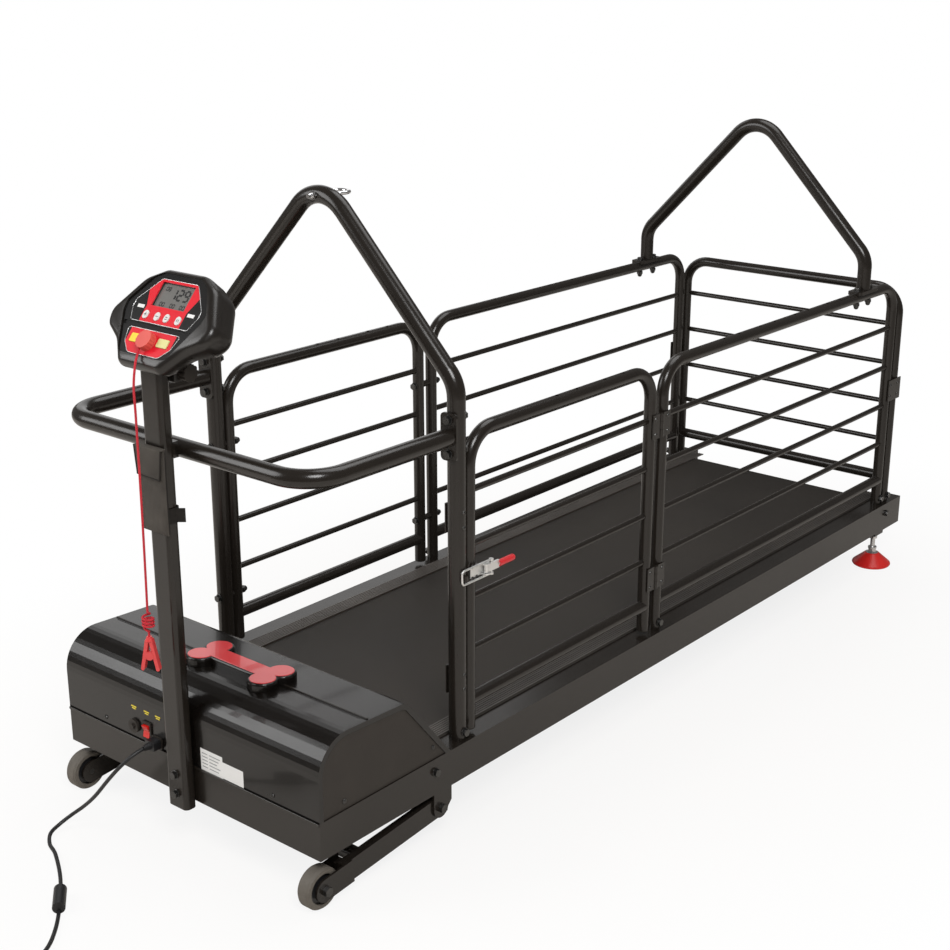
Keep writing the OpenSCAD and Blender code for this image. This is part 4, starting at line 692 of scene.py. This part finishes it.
# Console moulding: a black plastic shell, lofted back from its rim and drawn in under its chin.
# Pockets for the panels, the display, the keys and the clamp's knob are cut into it, in three rounds.
moulding = Finish("console_moulding", Roughness=0.3, Specular_IOR_Level=0.5)
moulding.mottle(14.0, (0.0090, 0.0074, 0.0060), (0.0150, 0.0124, 0.0102))
moulding.feed("Roughness", moulding.noise(40.0) * 0.10 + 0.24)
moulding.relief(moulding.noise(700.0, 2.0), 0.12, 0.0004)
console_rim = ((46, 133), (86, 111), (128, 42), (120, 17), (82, -6), (50, -45))
rim_radii = (24, 40, 24, 24, 60, 16)
rim_middle = Vector((0, 42))
chin_from, chin_over = 62, 80
section = [
    (26, 36, -64), (13, 35, -62), (5, 31, -57), (0.5, 22, -47), (0, 12, -36), (0, 4, -24),
    (0, 0, -13), (2, 0, -4), (6.5, 0, 1), (12, 0, 3),
]


def face_ring(bm, outline, depth):
    """Ring of points over an outline, in millimetres on the face."""
    return [bm.verts.new((p.x / 1000, p.y / 1000, depth / 1000)) for p in outline]


shell = bmesh.new()
rings = []
for inset, chin, depth in smooth_path([Vector(row) for row in section], 3):
    drawn = [inset + chin * min(1, max(0, (chin_from - y) / chin_over)) for x, y in console_rim]
    half = [Vector(q) - by * (Vector(q) - rim_middle).normalized() for q, by in zip(console_rim, drawn)]
    radii = [r * (1 - by / 90) for r, by in zip(rim_radii, drawn)]
    rings.append(face_ring(shell, rounded_outline(half, radii, 8), depth))
loft(shell, rings)
bmesh.ops.transform(shell, verts=shell.verts, matrix=to_face)
console_shell = new_piece("console_moulding", shell, moulding, "base")


def block(u0, u1, v0, v1):
    """Outline of a rectangle, in millimetres on the face."""
    return [Vector((u0, v0)), Vector((u1, v0)), Vector((u1, v1)), Vector((u0, v1))]


clear = 20
knob_r, knob_deep, knob_at = 0.0165, 0.060, (0.0545, y_front + 0.028, 0.867)
face_plate = rounded_outline(((46, 122), (66, 111), (97, 63), (94, 45), (57, -27)), (12, 12, 14, 14, 18))
pocket_sets = (
    ((face_plate, 0),),
    (
        (rounded_outline(*upper_panel), -2.2),
        (rounded_outline(*lower_panel), -2.2),
        (block(-82, 82, 22.5, 29.5), -2.5),
    ),
    (
        (block(-40.5, 40.5, 62.5, 107.5), -10),
        (block(-48, 48, 36, 54), -7),
        (block(-47, 47, -7, 11), -7),
    ),
)
for number, pockets in enumerate(pocket_sets):
    cutter_mesh = bmesh.new()
    for outline, depth in pockets:
        loft(cutter_mesh, [face_ring(cutter_mesh, outline, n) for n in (depth, clear)])
    bmesh.ops.transform(cutter_mesh, verts=cutter_mesh.verts, matrix=to_face)
    if number == 0:
        recess = bmesh.ops.create_cone(
            cutter_mesh, cap_ends=True, segments=32, radius1=knob_r, radius2=knob_r, depth=knob_deep
        )
        knob_place = Matrix.Translation(knob_at) @ Matrix.Rotation(math.pi / 2, 4, "Y")
        bmesh.ops.transform(cutter_mesh, verts=recess["verts"], matrix=knob_place)
    bmesh.ops.recalc_face_normals(cutter_mesh, faces=cutter_mesh.faces)
    cutter_data = bpy.data.meshes.new("cutter")
    cutter_mesh.to_mesh(cutter_data)
    cutter_mesh.free()
    cutter = bpy.data.objects.new("cutter", cutter_data)
    bpy.context.scene.collection.objects.link(cutter)
    hollow = console_shell.modifiers.new("hollow", "BOOLEAN")
    hollow.operation = "DIFFERENCE"
    hollow.object = cutter
    uncut = console_shell.data
    console_shell.data = bpy.data.meshes.new_from_object(
        console_shell.evaluated_get(bpy.context.evaluated_depsgraph_get())
    )
    console_shell.modifiers.clear()
    bpy.data.meshes.remove(uncut)
    bpy.data.objects.remove(cutter)
    bpy.data.meshes.remove(cutter_data)
for polygon in console_shell.data.polygons:
    polygon.use_smooth = True
console_shell.data.set_sharp_from_angle(angle=math.radians(34))
face_black = Finish("face_black", Roughness=0.4, Specular_IOR_Level=0.2)
face_black.mottle(30.0, (0.0020, 0.0018, 0.0016), (0.0045, 0.0040, 0.0036))
console_shell.data.materials.append(face_black.material)
deepest, skin, facing = 0.012, 0.0005, 0.9
outward = (to_face.to_3x3() @ Vector((0, 0, 1))).normalized()
for polygon in console_shell.data.polygons:
    depth = (to_face.inverted() @ polygon.center).z
    if polygon.normal.dot(outward) > facing and -deepest < depth < skin:
        polygon.material_index = 1
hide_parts("console_shell")

# Console clamp: the moulded block under the console that grips the head of the mast.
# The clamp's knob screws into its side.
clamp_size, clamp_at = (0.049, 0.032, 0.048), (0, y_front + 0.024, 0.875)
clamp = bmesh.new()
slab(clamp, clamp_size)
round_edges(clamp, 0.004, 3)
bmesh.ops.translate(clamp, verts=clamp.verts, vec=clamp_at)
new_piece("console_clamp", clamp, moulding, "base")

# Display digits: plain seven-stroke figures that lie behind the display's glass.
# One large reading stands among four small ones.
digit_ink = Finish("digit_ink", Base_Color=(0.003, 0.003, 0.003), Roughness=0.35)
digit_ink.feed("Roughness", digit_ink.noise(200.0) * 0.1 + 0.3)
strokes = {"0": "abcdef", "1": "bc", "2": "abged", "8": "abcdefg", "9": "abcdfg"}
bars = {
    "a": (0, 1, 1), "b": (0.5, 0.5, 0), "c": (0.5, -0.5, 0), "d": (0, -1, 1),
    "e": (-0.5, -0.5, 0), "f": (-0.5, 0.5, 0), "g": (0, 0, 1),
}
digit_n, digit_t, digit_pitch = -4.85, 0.25, 1.55
digits = bmesh.new()
for text, at_u, at_v, wide, tall, thick in (
    ("129", -7, 90.5, 10, 9.2, 3.6),
    ("08", -28, 98, 4.2, 3.4, 1.6),
    ("00", -26, 70, 4.2, 3.4, 1.6),
    ("00", -1, 70, 4.2, 3.4, 1.6),
    ("00", 23, 70, 4.2, 3.4, 1.6),
):
    for n, mark in enumerate(text):
        for stroke in strokes[mark]:
            right, high, flat = bars[stroke]
            size = (wide - thick * 0.6, thick) if flat else (thick, tall - thick * 0.5)
            spot = Vector((at_u + (n * digit_pitch + right) * wide, at_v + high * tall, digit_n))
            slab(digits, Vector((*size, digit_t)) / 1000, spot / 1000)
bmesh.ops.transform(digits, verts=digits.verts, matrix=to_face)
new_piece("display_digits", digits, digit_ink, "base")

# Side tags and key signs: bare white film tags beside the display, and plain marks on the oval keys.
# The tags are stuck on, and the marks are printed and move with their keys.
side_wide, side_tall, side_u, side_v, side_n = 0.016, 0.006, 0.061, 0.058, 0.0001
side_tags = bmesh.new()
for side in (-1, 1):
    slab(side_tags, (side_wide, side_tall, film_t), (side * side_u, side_v, side_n))
bmesh.ops.transform(side_tags, verts=side_tags.verts, matrix=to_face)
new_piece("side_tags", side_tags, label_film, "base")

sign_v, sign_n, sign_t = 45, 0.00165, 0.0002
for key, at_u, marks in (
    ("key_1", -39.5, ((6, 1.2, 0, 0), (1.2, 6, 0, 0))),
    ("key_2", -11.5, ((6, 1.2, 0, 0),)),
    ("key_3", 11.5, ((5, 1.2, 0, 1.8), (5, 1.2, 0, -1.8))),
    ("key_4", 39.5, ((1.2, 5, -1.8, 0), (1.2, 5, 1.8, 0))),
):
    signs = bmesh.new()
    for wide, tall, right, high in marks:
        middle = ((at_u + right) / 1000, (sign_v + high) / 1000, sign_n)
        slab(signs, (wide / 1000, tall / 1000, sign_t), middle)
    bmesh.ops.transform(signs, verts=signs.verts, matrix=to_face)
    new_piece(key + "_sign", signs, digit_ink, key)

# Latch: zinc-plated pressings and wire, riveted to the gate's frame.
# The lever's outer half is dipped in red vinyl for a grip.
latch_zinc = Finish("latch_zinc", Metallic=0.85, Roughness=0.32)
latch_zinc.mottle(80.0, (0.66, 0.66, 0.65), (0.80, 0.80, 0.79))
latch_zinc.feed("Roughness", latch_zinc.noise(160.0) * 0.2 + 0.24)
latch_zinc.dress("latch_base", "latch_bail")
grip = Finish("lever_grip", Roughness=0.4)
latch_pivot, grip_from = 0.428, 0.0338
dipped = grip.axes()[1] > y_front + latch_pivot + grip_from
vinyl = grip.blend(grip.noise(70.0), (0.58, 0.020, 0.026), (0.72, 0.034, 0.040))
grip.feed("Base Color", grip.blend(dipped, (0.72, 0.72, 0.71), vinyl))
grip.feed("Metallic", (1 - dipped) * 0.85)
grip.feed("Roughness", grip.noise(120.0) * 0.15 + 0.28)
grip.dress("latch_lever")

# Fasteners: blackened hexagon bolts on washers, dome nuts, cross-head screws and rivets.
# Each is pressed or turned once as a pattern and set wherever the frame is bolted.
black_oxide = Finish("black_oxide", Metallic=0.9, Roughness=0.3)
black_oxide.mottle(60.0, (0.045, 0.044, 0.043), (0.11, 0.108, 0.105))
black_oxide.feed("Roughness", black_oxide.noise(150.0) * 0.15 + 0.22)
black_oxide.dress("lift_bolts")


def turned(profile, steps=24):
    """Pattern mesh spun from (radius, height) points about Z."""
    bm = bmesh.new()
    points = [bm.verts.new((r, 0, h)) for r, h in profile]
    lines = [bm.edges.new(pair) for pair in zip(points, points[1:])]
    outline = points + lines
    bmesh.ops.spin(
        bm, geom=outline, cent=(0, 0, 0), axis=(0, 0, 1), angle=2 * math.pi, steps=steps, use_merge=True
    )
    bmesh.ops.remove_doubles(bm, verts=bm.verts, dist=0.00001)
    return bm


def pattern(name, bm):
    """Keeps a pattern as mesh data to stamp from."""
    bmesh.ops.recalc_face_normals(bm, faces=bm.faces)
    data = bpy.data.meshes.new(name)
    bm.to_mesh(data)
    bm.free()
    return data


def stamp(bm, data, at, way):
    """Adds a pattern to a bmesh, its Z turned to way, its origin at a point."""
    first = len(bm.verts)
    bm.from_mesh(data)
    bm.verts.ensure_lookup_table()
    turn = Vector((0, 0, 1)).rotation_difference(Vector(way)).to_matrix().to_4x4()
    bmesh.ops.transform(bm, verts=bm.verts[first:], matrix=Matrix.Translation(at) @ turn)


def hexagon(across, tall):
    """Hexagon head or nut with softened edges, standing on z = 0."""
    bm = bmesh.new()
    corner = across / 1.732
    bmesh.ops.create_cone(bm, cap_ends=True, segments=6, radius1=corner, radius2=corner, depth=tall)
    bmesh.ops.translate(bm, verts=bm.verts, vec=(0, 0, tall / 2))
    round_edges(bm, tall * 0.1, 2)
    return bm


washer_t = 0.0016
washer = pattern("washer", turned([(0, 0), (0.0085, 0), (0.0085, 0.0012), (0.0080, washer_t), (0, washer_t)]))
head = pattern("bolt_head", hexagon(0.013, 0.0055))
dome_profile = [
    (0, 0.0150), (0.0028, 0.0145), (0.0050, 0.0125), (0.0060, 0.0095), (0.0062, 0.0070),
    (0.0075, 0.0066), (0.0075, 0.0004), (0, 0.0004),
]
dome = pattern("dome_nut", turned(dome_profile))
rivet = pattern("rivet", turned([(0, 0.0024), (0.0016, 0.0022), (0.0032, 0.0013), (0.0040, 0), (0, 0)], 16))
screw = turned([(0, 0.0026), (0.0022, 0.0025), (0.0038, 0.0017), (0.0044, 0.0004), (0.0044, 0), (0, 0)])
for wide, tall in ((0.0050, 0.0010), (0.0010, 0.0050)):
    slab(screw, (wide, tall, 0.0008), (0, 0, 0.0024))
screw = pattern("cross_screw", screw)


def at(x, y, z):
    """Millimetres across, behind the front plate and above the floor, as a point."""
    return Vector((x / 1000, y_front + y / 1000, z / 1000))


def bolt(bm, place, way):
    """Sets a hexagon bolt on its washer."""
    stamp(bm, washer, place, way)
    stamp(bm, head, place + Vector(way) * washer_t, way)


tube_x, hinge_x, post_x = 308, 323, 324
base_bolts = bmesh.new()
for side in (-1, 1):
    bolt(base_bolts, at(side * post_x, 372, 182), (side, 0, 0))
    for y in (1004.5, 2023, 2061):
        bolt(base_bolts, at(side * 320.5, y, 182), (side, 0, 0))
    for z in (706, 766):
        bolt(base_bolts, at(side * tube_x, 351, z), (0, -1, 0))
        bolt(base_bolts, at(side * tube_x, 388, z), (0, 1, 0))
    for y in (1828, 1888):
        bolt(base_bolts, at(side * tube_x, y, 749.5), (0, 0, 1))
        stamp(base_bolts, dome, at(side * tube_x, y, 720.5), (0, 0, -1))
    for y in (285, 2040):
        bolt(base_bolts, at(side * 331, y, 140), (side, 0, 0))
for z in (276, 593):
    for near, far in ((356, 414.5), (949, 1017)):
        bolt(base_bolts, at(-tube_x, near, z), (0, -1, 0))
        stamp(base_bolts, dome, at(-tube_x, far, z), (0, 1, 0))
for z in (113, 150):
    bolt(base_bolts, at(0, -25, z), (0, -1, 0))
new_piece("frame_bolts", base_bolts, black_oxide, "base")

hinge_rows = [z + step for z in (290, 616) for step in (-16, 16)]
small_heads = bmesh.new()
for side in (-1, 1):
    stamp(small_heads, screw, at(side * 221, 0, 179), (0, -1, 0))
    for y, z in ((281, 190), (60, 182)):
        stamp(small_heads, screw, at(side * 328.7, y, z), (side, 0, 0))
    for y in (2023, 2061):
        for z in (453, 481):
            stamp(small_heads, rivet, at(side * hinge_x, y, z), (side, 0, 0))
for z in (280, 585):
    for step in (-14, 14):
        stamp(small_heads, rivet, at(post_x, 372, z + step), (1, 0, 0))
for z in hinge_rows:
    stamp(small_heads, rivet, at(hinge_x, 1004.5, z), (1, 0, 0))
new_piece("small_heads", small_heads, black_oxide, "base")

gate_heads = bmesh.new()
for z in hinge_rows:
    stamp(gate_heads, rivet, at(hinge_x, 961.5, z), (1, 0, 0))
for y in (396, 408):
    for z in (470, 492):
        stamp(gate_heads, rivet, at(322.5, y, z), (1, 0, 0))
new_piece("gate_rivets", gate_heads, black_oxide, "gate")

# Tube plugs: black polythene caps with a ribless shank and a domed rim.
# They are pressed into the open ends of the gate and the far front panel.
plug = pattern("tube_plug", turned([(0, 0), (0.0100, 0), (0.0106, 0.0006), (0.0106, 0.0090), (0, 0.0090)]))
cap_profile = [(0, 0.0032), (0.0090, 0.0030), (0.0116, 0.0020), (0.0124, 0.0006), (0.0124, 0), (0, 0)]
cap = pattern("tube_cap", turned(cap_profile))
for name, side, body in (("gate_plugs", 1, "gate"), ("panel_plugs", -1, "base")):
    caps = bmesh.new()
    for y in (402, 961.5):
        stamp(caps, plug, at(side * tube_x, y, 177.2), (0, 0, 1))
        stamp(caps, cap, at(side * tube_x, y, 176.8), (0, 0, -1))
    new_piece(name, caps, grained, body)
for spent in (washer, head, dome, rivet, screw, plug, cap):
    bpy.data.meshes.remove(spent)

# Pouch: a thin nylon pocket with piped edges, held to the mast by a webbing strap.
# The pocket is a flat pillow drawn in at its seams, and its piping is a bound cord.
nylon = Finish("pouch_nylon", Roughness=0.75, Specular_IOR_Level=0.3)
across, up = nylon.axes()[::2]
threads = (across * 6200.0).sine() * (up * 6200.0).sine()
wear = nylon.noise(22.0, 5.0)
nylon.feed("Base Color", nylon.ramp(wear, (0.3, (0.046, 0.040, 0.034)), (0.8, (0.095, 0.085, 0.073))))
nylon.feed("Roughness", wear * 0.2 + 0.62)
nylon.relief(threads * 0.4 + wear, 0.4, 0.0012)
pouch_w, pouch_low, pouch_high = 0.070, 0.602, 0.750
pouch_middle = (pouch_low + pouch_high) / 2
pouch_back = y_front - 0.0256
pouch_seam = pouch_back - 0.0042
front_deep, back_deep, edge_share = 0.0056, 0.0034, 0.24
long_fold, short_fold, waist_share = 0.0007, 0.00035, 0.03
pocket = bmesh.new()
bmesh.ops.create_cube(pocket, size=2)
bmesh.ops.subdivide_edges(pocket, edges=pocket.edges[:], cuts=23, use_grid_fill=True)
for v in pocket.verts:
    x, y, z = v.co
    swell = ((1 - abs(x) ** 6) * (1 - abs(z) ** 6)) ** 0.5
    depth = (front_deep if y < 0 else back_deep) * (edge_share + (1 - edge_share) * swell)
    crumple = long_fold * math.sin(6 * z + 2 * x) + short_fold * math.sin(17 * x - 9 * z)
    drawn_in = 1 - waist_share * (1 - z * z)
    fold = crumple * swell if y < 0 else 0
    v.co = Vector((x * drawn_in * pouch_w / 2, y * depth + fold, z * (pouch_high - pouch_low) / 2))
bmesh.ops.smooth_vert(
    pocket, verts=pocket.verts, factor=0.5, use_axis_x=True, use_axis_y=True, use_axis_z=True
)
bmesh.ops.translate(pocket, verts=pocket.verts, vec=(0, pouch_seam, pouch_middle))
pouch = new_piece("pouch_body", pocket, nylon, "base")
soften = pouch.modifiers.new("soften", "SUBSURF")
soften.levels = soften.render_levels = 1
for polygon in pouch.data.polygons:
    polygon.use_smooth = True
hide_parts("pouch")

binding = Finish("pouch_binding", Roughness=0.7, Specular_IOR_Level=0.25)
binding.mottle(60.0, (0.010, 0.009, 0.008), (0.022, 0.019, 0.016))
seam = [
    Vector((p.x / 1000, pouch_seam, pouch_middle + p.y / 1000))
    for p in rounded_outline(((34.4, 73.4), (34, 0), (34.4, -73.4)), (5, 90, 5))
]
cord_curve("pouch_piping", seam + seam[:1], 0.0026, binding, "base")

# Pouch flap: a tapered nylon flap sewn along the top of the pocket and folded over its front.
# Its free edges have a bound hem.
flap_y, hem_y, flap_t, hem_d = pouch_back - 0.0116, pouch_back - 0.0122, 0.0018, 0.0024
fold_back, fold_up, hem_wide, hem_step = 0.0097, 0.0015, 0.0028, 0.0005
corners = [(-0.0335, 0.7495), (-0.0285, 0.7000), (0.0275, 0.6985), (0.0335, 0.7495)]
flap_mesh = bmesh.new()
flap = flap_mesh.faces.new([flap_mesh.verts.new((x, flap_y, z)) for x, z in corners])
top_edge = [e for e in flap_mesh.edges if all(v.co.z > 0.745 for v in e.verts)]
turned_in = bmesh.ops.extrude_edge_only(flap_mesh, edges=top_edge)
over = [v for v in turned_in["geom"] if isinstance(v, bmesh.types.BMVert)]
bmesh.ops.translate(flap_mesh, verts=over, vec=(0, fold_back, fold_up))
bmesh.ops.inset_region(
    flap_mesh, faces=[flap], thickness=hem_wide, depth=hem_step, use_even_offset=True
)
bmesh.ops.recalc_face_normals(flap_mesh, faces=flap_mesh.faces)
bmesh.ops.solidify(flap_mesh, geom=flap_mesh.faces[:], thickness=flap_t)
round_edges(flap_mesh, 0.0005, 2)
new_piece("pouch_flap", flap_mesh, nylon, "base")
hem = [Vector((x, hem_y, z)) for x, z in corners]
hem_path = [hem[0], hem[0].lerp(hem[1], 0.5), *hem[1:3], hem[2].lerp(hem[3], 0.5), hem[3]]
cord_curve("flap_hem", hem_path, hem_d, binding, "base")

# Pouch strap: a webbing band sewn into a loop, pulled tight round the mast low on the pouch.
# Its loose tail sticks out at one side.
strap_low, strap_wide, strap_t = 0.619, 0.026, 0.0014
mast_y = y_front - 0.0125
tail_size, tail_at, tail_turn = (0.0022, 0.016, 0.024), (0.033, y_front - 0.0037, 0.632), -50
strap_mesh = bmesh.new()
ring = [
    strap_mesh.verts.new((p.x / 1000, mast_y + p.y / 1000, strap_low))
    for p in rounded_outline(((26.6, 14.1), (26.6, -14.1)), (9, 9))
]
for a, b in zip(ring, ring[1:] + ring[:1]):
    strap_mesh.edges.new((a, b))
walls = bmesh.ops.extrude_edge_only(strap_mesh, edges=strap_mesh.edges[:])
raised = [v for v in walls["geom"] if isinstance(v, bmesh.types.BMVert)]
bmesh.ops.translate(strap_mesh, verts=raised, vec=(0, 0, strap_wide))
bmesh.ops.recalc_face_normals(strap_mesh, faces=strap_mesh.faces)
bmesh.ops.solidify(strap_mesh, geom=strap_mesh.faces[:], thickness=-strap_t)
tail = slab(strap_mesh, tail_size)
bmesh.ops.rotate(strap_mesh, verts=tail, matrix=Matrix.Rotation(math.radians(tail_turn), 3, "Z"))
bmesh.ops.translate(strap_mesh, verts=tail, vec=tail_at)
new_piece("pouch_strap", strap_mesh, binding, "base")
